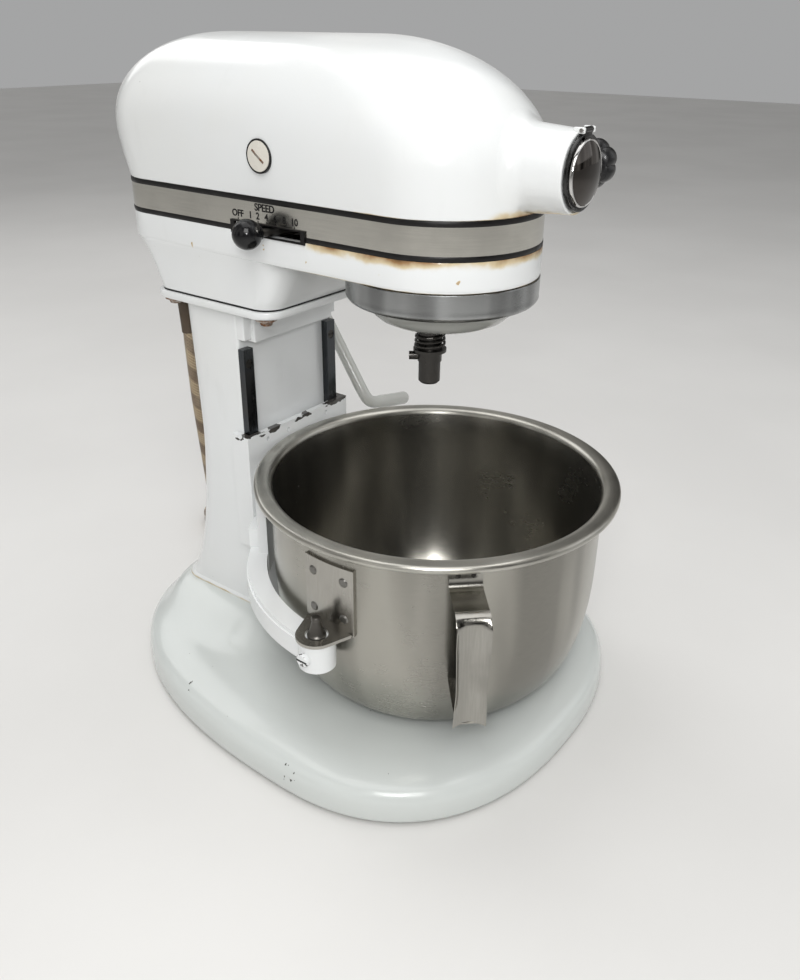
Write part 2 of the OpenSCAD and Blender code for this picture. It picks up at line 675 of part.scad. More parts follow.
module bowl_brackets() color(steel) at_axis() for (s = [0, 180]) rotate(s) difference() {
  union() {
    ring_part(bowl_r, bowl_r + 1.8, seat_z + 0.1, 153, -9.6, 9.6);
    hull() {
      translate([pin_x, 0, seat_z + 0.1]) cylinder(h = 2, r = 12.4, $fn = 32);
      translate([bowl_r + 1.2, -17, seat_z + 0.1]) cube([0.5, 34, 2]);
    }
  }
  translate([pin_x, 0, 100]) cylinder(h = 20, r = 6.9);
  // clear of the bowl's wall
  translate([0, 0, 100]) cylinder(h = 20, r = bowl_r, $fn = 128);
}

module bowl_rivets() color(dark) at_axis() for (s = [0, 180], a = [-6, 6], z = [119, 144])
  rotate(s + a) translate([bowl_r + 1.8, 0, z]) rotate([0, 90, 0]) cylinder(h = 0.7, r1 = 3, r2 = 2.2);

hw = 9.5; // half width of the bowl handle's strap

module bowl_handle() color(steel) at_axis() rotate(handle_angle) difference() {
  union() {
    // welded tab, shoulder and grip
    translate([0, hw, 0]) rotate([90, 0, 0]) linear_extrude(2 * hw) polygon([
      [bowl_r - 1, 162], [bowl_r + 1.8, 162], [bowl_r + 1.8, 153.4], [bowl_r + 4, 151.8], [bowl_r + 22, 149.6],
      [bowl_r + 27, 147.6], [bowl_r + 29.6, 143.6], [bowl_r + 30.4, 138], [bowl_r + 30.4, 77],
      [bowl_r + 28.8, 77], [bowl_r + 28.6, 137.6], [bowl_r + 27.6, 142], [bowl_r + 25.6, 145.4],
      [bowl_r + 21.6, 147.6], [bowl_r + 3, 149.6], [bowl_r - 1, 150.6]]);
    // rolled edges of the grip
    for (s = [-1, 1]) translate([0, s * (hw - 0.8) + 0.8, 0]) rotate([90, 0, 0]) linear_extrude(1.6) polygon([
      [bowl_r + 22, 148.6], [bowl_r + 29, 143], [bowl_r + 29.6, 137], [bowl_r + 29.6, 77],
      [bowl_r + 21, 80], [bowl_r + 21, 136]]);
    // lower stop on the bowl's wall
    translate([bowl_r - 3, -hw, 76]) cube([6.6, 5, 4]);
  }
  // keep to the outside of the bowl's wall
  translate([0, 0, 70]) cylinder(h = 100, r = bowl_r, $fn = 128);
}

// ---------- cord ----------

coil_x = 95;
coil_y = 275;
cord_r = cord_d / 2;
coil_r = 11 * cord_r; // middle of the coil's turns
CORD = [[-31, 190.5, 262], [-31, 190.5, 250], [-31, 190.8, 238], [-30, 192, 225], [-28, 194, 211],
  [-25.5, 196.5, 196], [-22.5, 199.5, 180], [-19, 202.5, 164], [-15, 206, 148], [-11, 209.5, 132],
  [-7, 213, 116], [-3, 216.5, 100], [1, 220.5, 84], [5, 225.5, 68.5], [9.5, 231.5, 54], [15, 238, 41],
  [22, 244, 29.5], [30.5, 248.5, 19.5], [40.5, 250, 11.5], [51, 247, 6.3], [61.5, 241, 3.9],
  [72.5, 236, 3.5], [84, 233.5, 3.5], [95, 233.1, 3.5]];
TAIL = [[120, 241, 10.5], [130, 247.5, 10.3], [139, 256, 7.6], [145.5, 266, 5.4], [149.5, 277, 5.8],
  [151, 288, 7.1]];
plug_turn = 82;

module strain_relief() color(black) at_axis() translate([exit_x, exit_y, 0]) difference() {
  union() {
    translate([0, 0, flange_z - 1.5]) cylinder(h = 1.5, r = 6.6);
    translate([0, 0, flange_z - 0.5]) cylinder(h = 8, r = 4.9);
    translate([0, 0, 232]) cylinder(h = flange_z - 233, r1 = 4.3, r2 = 5.6);
  }
  translate([0, 0, 220]) cylinder(h = 60, r = cord_r);
}

module cord() color(braid) at_axis() {
  tube(CORD, cord_r);
  tube(TAIL, cord_r);
}

// Two turns on the table and two on top of them, as one closed ring.
module cord_coil() color(braid) at_axis() translate([coil_x, coil_y, 0]) rotate_extrude($fn = 64) {
  for (x = [-cord_r, cord_r], z = [cord_r, 3 * cord_r])
    translate([coil_r + x, z]) circle(r = cord_r, $fn = 24);
  translate([coil_r - cord_r, cord_r]) square(cord_d);
}

module plug() color(black) at_axis() translate([TAIL[5][0], TAIL[5][1], 0]) rotate(plug_turn) {
  translate([0, -9, 0.2]) cube([26, 18, 14]);
  for (y = [-6.4, 6.4]) translate([26, y - 0.8, 4]) cube([17, 1.6, 6.4]);
}

base_casting();
rubber_feet();
column_bolts();
column();
slide_rails();
rail_screws();
flange_screws();
flange_washers();
gearcase();
head_shell();
trim_band();
trim_stripes();
slot_plate();
speed_scale();
brush_caps();
brush_tubes();
carbon_brushes();
brush_springs();
motor_field();
motor_bearings();
ring_gear();
drip_ring();
hub_cover();
hub_hinge_pin();
knob_screw();
attachment_knob();
armature_shaft();
armature_core();
commutator();
cooling_fan();
drive_shaft();
worm_wheel();
drive_pinion();
centre_shaft();
centre_gear();
planet_carrier();
beater_shaft();
planet_pinion();
shaft_pin();
shaft_spring();
shaft_washer();
attachment_shaft();
attachment_gear();
speed_rod();
speed_ball();
speed_slider();
lift_shaft();
lift_rod();
lift_grip();
yoke();
yoke_pins();
yoke_set_screws();
bowl();
bowl_brackets();
bowl_rivets();
bowl_handle();
strain_relief();
cord();
cord_coil();
plug();
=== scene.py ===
import math

import bpy
from mathutils import Matrix, Vector
from mathutils.bvhtree import BVHTree


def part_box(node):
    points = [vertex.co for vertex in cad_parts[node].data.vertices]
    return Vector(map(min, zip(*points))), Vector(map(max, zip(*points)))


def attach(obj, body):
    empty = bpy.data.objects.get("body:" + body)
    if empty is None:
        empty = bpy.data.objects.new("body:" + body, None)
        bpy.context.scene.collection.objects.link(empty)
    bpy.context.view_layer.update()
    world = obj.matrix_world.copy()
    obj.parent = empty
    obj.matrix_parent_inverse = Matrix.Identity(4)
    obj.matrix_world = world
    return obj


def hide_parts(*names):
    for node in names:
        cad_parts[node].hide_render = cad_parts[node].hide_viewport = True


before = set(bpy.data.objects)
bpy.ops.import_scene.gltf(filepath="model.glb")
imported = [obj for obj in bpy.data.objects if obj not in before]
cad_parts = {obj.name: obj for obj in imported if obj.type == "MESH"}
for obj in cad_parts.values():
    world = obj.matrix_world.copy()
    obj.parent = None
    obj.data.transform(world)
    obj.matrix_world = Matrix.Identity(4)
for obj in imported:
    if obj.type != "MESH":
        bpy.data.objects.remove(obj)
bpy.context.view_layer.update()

# ---- places taken from the frame
# Shapes are written in millimetres, with x and y measured from the planetary axis.

MM = 0.001


def mid(node, axis):
    low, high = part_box(node)
    return (low[axis] + high[axis]) / 2 / MM


def low(node, axis):
    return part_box(node)[0][axis] / MM


def high(node, axis):
    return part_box(node)[1][axis] / MM


AXIS_Y = mid("drip_ring", 1)
TOP = high("head_shell", 2)
BAND_LO = low("trim_stripes", 2)
BAND_HI = high("trim_stripes", 2)
SKIRT_Z = high("drip_ring", 2)
RING_R = high("drip_ring", 0)
FLANGE_Z = high("flange_washers", 2)
CASE_Z = FLANGE_Z + 6
HUB_Z = mid("attachment_shaft", 2)
HUB_FACE = -80.6
HUB_R = 20.5
RIM_Z = high("bowl", 2)
RIM_R = high("bowl", 0)
BOWL_Z = low("bowl", 2)
BOWL_R = 106
PIN_X = 118.5
SEAT_Z = 108.5
PAD_Z = high("base_casting", 2)
SLOT_Z = mid("slot_plate", 2)
SLOT = (low("slot_plate", 1) - AXIS_Y, high("slot_plate", 1) - AXIS_Y)
BRUSH_Y = mid("brush_caps", 1) - AXIS_Y


def at(x, y, z):
    return Vector((x * MM, (y + AXIS_Y) * MM, z * MM))


# ---- camera

CAMERA_AT = at(-431.1, -290.4, 423.5)
CAMERA_YAW, CAMERA_PITCH, CAMERA_ROLL = (math.radians(a) for a in (-53.48, 27.32, 0.57))
CAMERA_LENS = 33.12


def make_camera():
    data = bpy.data.cameras.new("camera")
    data.lens = CAMERA_LENS
    data.sensor_width = 36
    data.clip_start = 0.01
    data.clip_end = 50
    camera = bpy.data.objects.new("camera", data)
    place = Matrix.Translation(CAMERA_AT)
    for angle, axis in ((CAMERA_YAW, "Z"), (math.pi / 2 - CAMERA_PITCH, "X"), (CAMERA_ROLL, "Z")):
        place = place @ Matrix.Rotation(angle, 4, axis)
    camera.matrix_world = place
    bpy.context.scene.collection.objects.link(camera)
    bpy.context.scene.camera = camera


make_camera()

# ---- material helpers


class Nodes:
    """Short calls that add nodes to a tree. Textures read the coordinate that place holds."""

    def __init__(self, tree, coordinate):
        self.tree = tree
        self.place = self.add("ShaderNodeTexCoord").outputs[coordinate]

    def join(self, value, socket):
        if isinstance(value, bpy.types.NodeSocket):
            self.tree.links.new(value, socket)
        elif isinstance(value, tuple) and len(value) == 3 and socket.type == "RGBA":
            socket.default_value = (*value, 1)
        else:
            socket.default_value = value

    def add(self, kind, inputs=None, **values):
        node = self.tree.nodes.new(kind)
        for key, value in values.items():
            setattr(node, key, value)
        for key, value in (inputs or {}).items():
            self.join(value, node.inputs[key])
        return node

    def calc(self, operation, a, b=0.0):
        return self.add("ShaderNodeMath", {0: a, 1: b}, operation=operation).outputs[0]

    def times(self, a, b):
        return self.calc("MULTIPLY", a, b)

    def plus(self, a, b):
        return self.calc("ADD", a, b)

    def less(self, a, b):
        return self.calc("SUBTRACT", a, b)

    def most(self, a, b):
        return self.calc("MAXIMUM", a, b)

    def over(self, a, b):
        return self.calc("GREATER_THAN", a, b)

    def split(self, vector):
        return tuple(self.add("ShaderNodeSeparateXYZ", {0: vector}).outputs)

    def axes(self):
        return self.split(self.place)

    def stretched(self, x, y, z):
        return self.add("ShaderNodeMapping", {"Vector": self.place, "Scale": (x, y, z)}).outputs[0]

    def combined(self, x, y, z):
        return self.add("ShaderNodeCombineXYZ", {0: x, 1: y, 2: z}).outputs[0]

    def noise(self, scale, detail=3.0, where=None, rough=0.5):
        inputs = {"Vector": where or self.place, "Scale": scale, "Detail": detail, "Roughness": rough}
        return self.add("ShaderNodeTexNoise", inputs).outputs["Fac"]

    def cells(self, scale, where=None):
        node = self.add("ShaderNodeTexVoronoi", {"Vector": where or self.place, "Scale": scale})
        return node.outputs["Distance"], node.outputs["Color"]

    def span(self, value, start, end, to_start=0.0, to_end=1.0):
        inputs = {"Value": value, "From Min": start, "From Max": end, "To Min": to_start, "To Max": to_end}
        return self.add("ShaderNodeMapRange", inputs, interpolation_type="SMOOTHSTEP").outputs[0]

    def ramp(self, value, *stops):
        node = self.add("ShaderNodeValToRGB", {0: value})
        ends = node.color_ramp.elements
        while len(ends) < len(stops):
            ends.new(0.5)
        for element, (position, colour) in zip(ends, stops):
            element.position = position
            element.color = (*colour, 1)
        return node.outputs[0]

    def mix(self, amount, a, b):
        return self.add("ShaderNodeMix", {0: amount, 6: a, 7: b}, data_type="RGBA").outputs[2]


class Finish(Nodes):
    """A material: the calls of Nodes, and calls that set its Principled shader."""

    def __init__(self, name, colour, rough, metal=0.0, **sockets):
        self.material = bpy.data.materials.new(name)
        self.material.use_nodes = True
        super().__init__(self.material.node_tree, "Object")
        self.shader = self.tree.nodes["Principled BSDF"]
        self.colour(colour)
        self.rough(rough)
        self.set("Metallic", metal)
        for socket, value in sockets.items():
            self.set(socket.replace("_", " "), value)

    def set(self, socket, value):
        self.join(value, self.shader.inputs[socket])

    def colour(self, value):
        self.set("Base Color", value)

    def rough(self, value):
        self.set("Roughness", value)

    def bump(self, height, depth, strength=1.0, after=None):
        inputs = {"Strength": strength, "Distance": depth, "Height": height}
        if after is not None:
            inputs["Normal"] = after
        normal = self.add("ShaderNodeBump", inputs).outputs[0]
        self.set("Normal", normal)
        return normal


RUST = ((0.0, (0.80, 0.79, 0.72)), (0.30, (0.66, 0.55, 0.36)), (0.65, (0.33, 0.19, 0.085)),
        (0.95, (0.06, 0.035, 0.02)))
ENAMEL = (0.83, 0.845, 0.845)


def darker(colour, share):
    return tuple(c * share for c in colour)


def specks(f, scale, size, share):
    """Small dots, one in some of the cells of a jittered grid."""
    distance, pick = f.cells(scale)
    wobble = f.times(f.noise(scale * 9, 2), size * 0.9)
    dot = f.calc("LESS_THAN", f.plus(distance, wobble), size)
    tone = f.add("ShaderNodeSeparateColor", {0: pick})
    return f.times(dot, f.calc("LESS_THAN", tone.outputs[0], share))


def enamel(name, stain=None, speck_share=0.22, base=ENAMEL, tint=(0.80, 0.79, 0.73), chips=None):
    """Glossy white paint with orange peel, small chips and rust where stain says so."""
    f = Finish(name, base, 0.22, Coat_Weight=0.35, Coat_Roughness=0.06)
    cloud = f.span(f.noise(9, 5), 0.45, 0.75)
    colour = f.mix(f.times(cloud, 0.22), base, tint)
    smears = f.span(f.noise(60, 6, f.stretched(1, 1, 0.35)), 0.60, 0.78)
    colour = f.mix(f.times(smears, 0.06), colour, (0.45, 0.44, 0.42))
    if stain is not None:
        amount = stain(f)
        colour = f.mix(f.span(amount, 0.04, 0.30), colour, f.ramp(amount, *RUST))
    marks = f.most(specks(f, 62, 0.036, speck_share), specks(f, 150, 0.045, 0.10))
    if chips is not None:
        marks = f.most(marks, chips(f))
    f.colour(f.mix(marks, colour, (0.05, 0.045, 0.04)))
    f.rough(f.span(f.noise(35, 4), 0.3, 0.75, 0.19, 0.26))
    peel = f.bump(f.noise(420, 2), 0.00012, 0.25)
    f.bump(f.less(1.0, marks), 0.0003, 0.6, after=peel)
    return f.material


def edge_stain(f, z_edge, depth, sign, nose_only=True):
    """Rust that creeps from a level edge, up (sign 1) or down (sign -1), strongest round the nose."""
    _, y, z = f.axes()
    ragged = f.times(f.less(f.noise(75, 5), 0.5), depth * 0.8 * MM)
    away = f.plus(f.times(f.less(z, z_edge * MM), sign), ragged)
    amount = f.calc("POWER", f.span(away, depth * MM, -0.5 * depth * MM), 1.2)
    amount = f.times(amount, f.span(f.noise(26, 4), 0.32, 0.60, 0.35, 1.15))
    if nose_only:
        amount = f.times(amount, f.span(y, (95 + AXIS_Y) * MM, (25 + AXIS_Y) * MM))
    return amount


def case_stain(f):
    under_band = edge_stain(f, BAND_LO, 8.0, -1)
    on_ring = f.times(edge_stain(f, SKIRT_Z, 2.0, 1), 0.75)
    spots = f.times(f.span(f.noise(120, 3), 0.70, 0.76), 0.5)
    spots = f.times(spots, f.span(f.axes()[2], (SKIRT_Z - 2) * MM, (SKIRT_Z + 5) * MM))
    return f.most(f.most(under_band, on_ring), spots)


def head_stain(f):
    _, y, _ = f.axes()
    over_band = f.times(edge_stain(f, BAND_HI, 1.6, 1), 0.45)
    corner = f.times(edge_stain(f, BAND_HI, 8.0, 1, False),
                    f.span(y, (-45 + AXIS_Y) * MM, (-53 + AXIS_Y) * MM))
    return f.most(over_band, f.times(corner, 0.9))


def column_stain_and_shade(f):
    # the brown line at the column foot is partly real dirt and partly painted crease shade where the column
    # meets the base
    foot = f.times(edge_stain(f, PAD_Z + 0.5, 2.0, 1, False), 0.45)
    neck = f.times(edge_stain(f, FLANGE_Z, 3.0, -1, False), 0.35)
    return f.most(foot, neck)


def lever_stain(f):
    return f.times(f.span(f.noise(60, 5), 0.62, 0.80), 0.22)


def screw_chips(f):
    return f.over(f.noise(420, 4), 0.60)


def yoke_chips(f):
    z = f.axes()[2]
    near_top = f.span(z, high("yoke", 2) * MM - 0.0085, high("yoke", 2) * MM - 0.0015)
    return f.over(f.times(f.noise(70, 5, f.stretched(1, 1, 1.6)), near_top), 0.54)


def base_chips(f):
    scuff = f.noise(260, 3, f.stretched(0.25, 1, 1))
    where = f.span(f.noise(14, 2), 0.56, 0.62)
    return f.over(f.times(scuff, where), 0.69)


def grained(f, lines, colour):
    return f.mix(f.span(lines, 0.3, 0.7), darker(colour, 0.90), colour)


def metal(name, colour, rough, grain=(1, 1, 1), scale=400.0, spread=0.12, wear=0.25, depth=0.00004,
          dark=(0.10, 0.09, 0.08), **sockets):
    """Bare metal: grain lines along the axis with the smallest factor, stains, roughness from both."""
    f = Finish(name, colour, rough, 1.0, **sockets)
    lines = f.noise(scale, 4, f.stretched(*grain))
    blotch = f.span(f.noise(38, 5), 0.42, 0.72)
    f.colour(f.mix(f.times(blotch, wear), grained(f, lines, colour), dark))
    f.rough(f.plus(f.span(lines, 0.25, 0.75, rough - spread / 2, rough + spread / 2),
                   f.times(blotch, wear * 0.4)))
    f.bump(lines, depth, 0.5)
    return f.material


def bowl_metal(name, colour, rough, wear, painted_highlight_share):
    """Spun stainless steel: grain runs round the planetary axis, with scratches and water marks; broad
    brighter fans round the axis are painted highlights that stand in for reflections.
    """
    f = Finish(name, colour, rough, 1.0, Anisotropic=0.75, Anisotropic_Rotation=0.25)
    x, y, z = f.axes()
    rel_y = f.less(y, AXIS_Y * MM)
    angle = f.calc("ARCTAN2", rel_y, x)
    radius = f.calc("SQRT", f.plus(f.times(x, x), f.times(rel_y, rel_y)))
    along = f.combined(f.times(angle, 0.012), f.plus(z, radius), 0.0)
    lines = f.noise(1500, 3, along)
    swirl = f.noise(420, 4, f.combined(f.times(angle, 0.03), f.plus(z, radius), 0.0))
    marks = f.span(f.noise(16, 5, rough=0.6), 0.52, 0.74)
    drips = f.span(f.noise(48, 3, f.stretched(1, 1, 0.3)), 0.62, 0.80)
    around = f.combined(f.calc("DIVIDE", x, radius), f.calc("DIVIDE", rel_y, radius), f.times(z, 1.5))
    # painted highlight: broad fans round the axis lighten the steel's colour in place of reflected light
    painted_highlight_fans = f.span(f.noise(2.1, 2, around), 0.40, 0.62)
    tone = f.mix(f.times(marks, wear * 0.22), grained(f, lines, colour), darker(colour, 0.55))
    tone = f.mix(f.times(drips, wear * 0.3), tone, darker(colour, 0.5))
    f.colour(f.mix(f.times(painted_highlight_fans, painted_highlight_share), tone, tuple(min(1.0, c * 1.9) for c in colour)))
    rough_lines = f.span(swirl, 0.3, 0.7, rough - 0.012, rough + 0.012)
    f.rough(f.plus(rough_lines, f.times(marks, 0.04)))
    f.bump(lines, 0.000006, 0.06)
    f.set("Tangent", f.add("ShaderNodeTangent", direction_type="RADIAL", axis="Z").outputs[0])
    return f.material


def chrome(name, colour):
    f = Finish(name, colour, 0.06, 1.0)
    haze = f.span(f.noise(90, 5), 0.45, 0.8)
    pits = specks(f, 420, 0.10, 0.10)
    tone = f.mix(f.times(haze, 0.3), colour, darker(colour, 0.65))
    f.colour(f.mix(pits, tone, (0.14, 0.11, 0.09)))
    f.rough(f.span(f.noise(160, 4), 0.3, 0.8, 0.03, 0.14))
    f.bump(f.noise(30, 2), 0.0004, 0.15)
    return f.material


def rusty_metal():
    f = Finish("rusty_steel", (0.35, 0.30, 0.26), 0.5, 0.7)
    rust = f.span(f.noise(330, 5), 0.38, 0.62)
    flakes = f.ramp(f.noise(700, 3), (0.3, (0.10, 0.04, 0.02)), (0.7, (0.36, 0.16, 0.06)))
    f.colour(f.mix(rust, (0.42, 0.38, 0.34), flakes))
    f.rough(f.span(rust, 0.0, 1.0, 0.35, 0.8))
    f.bump(f.noise(900, 4), 0.0003, 0.6)
    return f.material


def plastic(name, colour, rough, grain=500.0, coat=0.0):
    f = Finish(name, colour, rough, 0.0, Coat_Weight=coat, Coat_Roughness=0.05, Specular_IOR_Level=0.35)
    dust = f.span(f.noise(70, 5), 0.5, 0.78)
    pale = tuple(min(1.0, c * 1.2 + 0.012) for c in colour)
    f.colour(f.mix(f.times(dust, 0.5), colour, pale))
    f.rough(f.span(f.noise(120, 4), 0.3, 0.75, rough * 0.8, rough * 1.5))
    f.bump(f.noise(grain, 3), 0.00008, 0.4)
    return f.material


def braid():
    """Cloth braid: two families of slanting strands that take turns on top, along the tube's UV map."""
    f = Finish("braid", (0.30, 0.21, 0.12), 0.85, 0.0, Sheen_Weight=0.3)
    uv = f.add("ShaderNodeUVMap", uv_map="along")
    length, round_ = f.split(uv.outputs[0])[:2]
    strands = 8.0
    a = f.calc("FRACT", f.plus(f.times(length, 420.0), f.times(round_, strands)))
    b = f.calc("FRACT", f.less(f.times(length, 420.0), f.times(round_, strands)))
    ridge_a = f.calc("SINE", f.times(a, math.pi))
    ridge_b = f.calc("SINE", f.times(b, math.pi))
    over = f.over(ridge_a, ridge_b)
    height = f.most(ridge_a, ridge_b)
    spiral = f.plus(f.times(length, 260.0), f.times(round_, 6.283))
    tracer = f.span(f.calc("SINE", spiral), -0.2, 0.35)
    worn = f.span(f.noise(45, 4), 0.4, 0.7)
    strand = f.mix(over, (0.34, 0.25, 0.15), (0.46, 0.36, 0.23))
    strand = f.mix(f.times(tracer, 0.85), strand, (0.12, 0.075, 0.045))
    strand = f.mix(f.times(worn, 0.4), strand, (0.50, 0.42, 0.30))
    f.colour(f.mix(f.span(height, 0.25, 0.75), (0.09, 0.06, 0.04), strand))
    fuzz = f.bump(f.noise(2600, 3), 0.0002, 0.4)
    f.bump(height, 0.0005, 0.8, after=fuzz)
    return f.material


HEAD_PAINT = enamel("enamel_head", head_stain)
CASE_PAINT = enamel("enamel_case", case_stain, 0.30)
PLAIN_PAINT = enamel("enamel_plain", None, 0.16)
YOKE_PAINT = enamel("enamel_yoke", None, 0.3, chips=yoke_chips)
# darker copy of the white enamel for the base: painted shade from the head and bowl above
BASE_PAINT_SHADED = enamel("enamel_base_painted_shade", None, 0.30, base=(0.66, 0.69, 0.67), tint=(0.62, 0.64, 0.61),
                    chips=base_chips)
# grey copy of the white enamel for the planetary dish: painted shade under the head
DISH_PAINT_SHADED = enamel("enamel_dish_painted_shade", None, 0.25, base=(0.42, 0.425, 0.40), tint=(0.34, 0.33, 0.29))
COLUMN_PAINT = enamel("enamel_column", column_stain_and_shade, 0.16)
SCREW_PAINT = enamel("enamel_screw", None, 0.5, chips=screw_chips)
LEVER_PAINT = enamel("enamel_lever", lever_stain, 0.5, base=(0.60, 0.605, 0.57),
                     tint=(0.40, 0.40, 0.36))
BOWL_STEEL = bowl_metal("bowl_steel", (0.265, 0.257, 0.232), 0.25, 0.75, 0.70)
# a lighter copy of the bowl steel for the up-facing rim: painted light
RIM_STEEL_PAINTED_LIGHT = bowl_metal("rim_steel_painted_light", (0.46, 0.45, 0.41), 0.30, 0.5, 0.3)
# drip ring steel darkened as painted shade under the head
RING_STEEL_SHADED = bowl_metal("ring_steel_painted_shade", (0.24, 0.245, 0.245), 0.26, 1.2, 0.7)
PLATE_STEEL = metal("plate_steel", (0.46, 0.445, 0.41), 0.24, (1, 1, 0.12), 900, 0.06, 0.04, 0.000006)
RIVET_STEEL = metal("rivet_steel", (0.24, 0.235, 0.22), 0.35)
HANDLE_STEEL = metal("handle_steel", (0.38, 0.37, 0.34), 0.14, (1, 1, 0.06), 1100, 0.06, 0.22)
STEEL = metal("steel", (0.50, 0.49, 0.47), 0.34)
RAIL_STEEL = metal("rail_steel", (0.07, 0.076, 0.082), 0.25, (1, 1, 0.05), 500, 0.15, 0.5)
DARK_STEEL = metal("dark_steel", (0.07, 0.067, 0.063), 0.34, (1, 1, 0.4), 500, 0.2, 0.4, 0.0001)
PIN_STEEL = metal("pin_steel", (0.17, 0.163, 0.15), 0.32, (1, 1, 0.2), 500, 0.15, 0.3, 0.00003)
BAND_METAL = metal("band_metal", (0.72, 0.70, 0.64), 0.19, (0.02, 0.02, 1), 1800, 0.03, 0.12, 0.00001)
COVER_RING = metal("cover_ring", (0.07, 0.07, 0.07), 0.25, (1, 1, 1), 500, 0.1, 0.3)
BRASS = metal("brass", (0.62, 0.45, 0.18), 0.3)
CHROME = chrome("chrome", (0.58, 0.57, 0.56))
# chrome made nearly black: a painted dark reflection
CHROME_PAINTED_DARK = chrome("chrome_painted_dark_reflection", (0.085, 0.076, 0.07))
RUSTY = rusty_metal()
BLACK_PLASTIC = plastic("black_plastic", (0.006, 0.006, 0.007), 0.14, 300, 0.05)
KNOB_PLASTIC = plastic("knob_plastic", (0.007, 0.007, 0.008), 0.25, 300, 0.1)
BLACK_PAINT = plastic("black_paint", (0.005, 0.0045, 0.0045), 0.38, 700)
CREAM_PLASTIC = plastic("cream_plastic", (0.72, 0.69, 0.62), 0.28, 500, 0.3)
RUBBER = plastic("rubber", (0.03, 0.028, 0.027), 0.7, 900)
OLD_RUBBER = plastic("old_rubber", (0.085, 0.062, 0.042), 0.6, 900)
CARBON = plastic("carbon", (0.05, 0.05, 0.05), 0.6)
BRAID = braid()

# ---- mesh helpers


def show(obj):
    bpy.context.scene.collection.objects.link(obj)


def baked(obj):
    """The object's mesh with its modifiers applied."""
    depsgraph = bpy.context.evaluated_depsgraph_get()
    return bpy.data.meshes.new_from_object(obj.evaluated_get(depsgraph), depsgraph=depsgraph)


def solid(name, points, faces, material, angle=38, uv=None):
    """A mesh object, shaded smooth except across edges sharper than the angle."""
    mesh = bpy.data.meshes.new(name)
    mesh.from_pydata([tuple(p) for p in points], [], faces)
    if uv is not None:
        layer = mesh.uv_layers.new(name="along")
        for loop, value in enumerate(uv):
            layer.data[loop].uv = value
    mesh.polygons.foreach_set("use_smooth", [True] * len(mesh.polygons))
    mesh.set_sharp_from_angle(angle=math.radians(angle))
    mesh.materials.append(material)
    obj = bpy.data.objects.new(name, mesh)
    show(obj)
    return obj


def skin(name, rings, material, loop=True, ends=(True, True), close=False, angle=38):
    """Quads between successive rings of equal length; loop closes each ring, close joins last to first."""
    n = len(rings[0])
    points = [p for ring in rings for p in ring]
    faces = []
    steps = len(rings) if close else len(rings) - 1
    for i in range(steps):
        a, b = i * n, ((i + 1) % len(rings)) * n
        for k in range(n if loop else n - 1):
            k2 = (k + 1) % n
            faces.append((a + k, a + k2, b + k2, b + k))
    if ends[0] and not close:
        faces.append(tuple(reversed(range(n))))
    if ends[1] and not close:
        faces.append(tuple(range(len(points) - n, len(points))))
    return solid(name, points, faces, material, angle)


def arc(cx, cy, r, start, end, steps):
    return [(cx + r * math.cos(math.radians(start + (end - start) * k / steps)),
             cy + r * math.sin(math.radians(start + (end - start) * k / steps))) for k in range(steps + 1)]


def lathe(name, profile, material, centre=(0, 0, 0), axis="z", sides=96, close=False, wave=None, angle=38):
    """Turns a profile of (radius, height) about an axis through the centre."""
    rings = []
    for r, h in profile:
        ring = []
        for a in ring_of(sides):
            rr = r * (wave(a, r) if wave else 1)
            u, v = rr * math.cos(a), rr * math.sin(a)
            offset = {"z": (u, v, h), "y": (u, h, -v), "x": (h, u, v)}[axis]
            ring.append(at(*(c + o for c, o in zip(centre, offset))))
        rings.append(ring)
    return skin(name, rings, material, ends=(not close, not close), close=close, angle=angle)


def smooth_path(points, step):
    """Catmull-Rom curve through the points, sampled at about the given spacing."""
    out = []
    pts = [points[0] * 2 - points[1]] + list(points) + [points[-1] * 2 - points[-2]]
    for i in range(1, len(pts) - 2):
        p0, p1, p2, p3 = pts[i - 1:i + 3]
        count = max(1, round((p2 - p1).length / step))
        for k in range(count):
            t = k / count
            out.append(0.5 * ((2 * p1) + (p2 - p0) * t + (2 * p0 - 5 * p1 + 4 * p2 - p3) * t * t
                              + (3 * p1 - p0 - 3 * p2 + p3) * t ** 3))
    out.append(points[-1])
    return out


def heading(points, i):
    """Direction of a line of points at one of them, from its neighbours."""
    before, after = points[max(i - 1, 0)], points[min(i + 1, len(points) - 1)]
    return (Vector(after) - Vector(before)).normalized()


def tube(name, path, radius, material, sides=20, angle=50):
    """A round tube along a path with end caps; radius may be a function of the share of the length."""
    lengths = [0.0]
    for a, b in zip(path, path[1:]):
        lengths.append(lengths[-1] + (b - a).length)
    normal = Vector((0.02, 0.03, 1)).cross(path[1] - path[0]).normalized()
    points, count = [], len(path)
    for i, p in enumerate(path):
        tangent = heading(path, i)
        normal = (normal - tangent * normal.dot(tangent)).normalized()
        other = tangent.cross(normal)
        r = radius(lengths[i] / lengths[-1]) if callable(radius) else radius
        for a in ring_of(sides):
            points.append(p + (normal * math.cos(a) + other * math.sin(a)) * r)
    faces, uv = [], []
    for i in range(count - 1):
        for k in range(sides):
            k2 = (k + 1) % sides
            faces.append((i * sides + k, i * sides + k2, (i + 1) * sides + k2, (i + 1) * sides + k))
            for row, column in ((i, k), (i, k + 1), (i + 1, k + 1), (i + 1, k)):
                uv.append((lengths[row], column / sides))
    faces.append(tuple(reversed(range(sides))))
    faces.append(tuple((count - 1) * sides + k for k in range(sides)))
    uv += [(0, 0)] * sides + [(lengths[-1], 0)] * sides
    return solid(name, points, faces, material, angle, uv)


def bevel(obj, width, segments=2, angle=40):
    modifier = obj.modifiers.new("bevel", "BEVEL")
    modifier.width = width * MM
    modifier.segments = segments
    modifier.limit_method = "ANGLE"
    modifier.angle_limit = math.radians(angle)
    modifier.harden_normals = True
    return obj


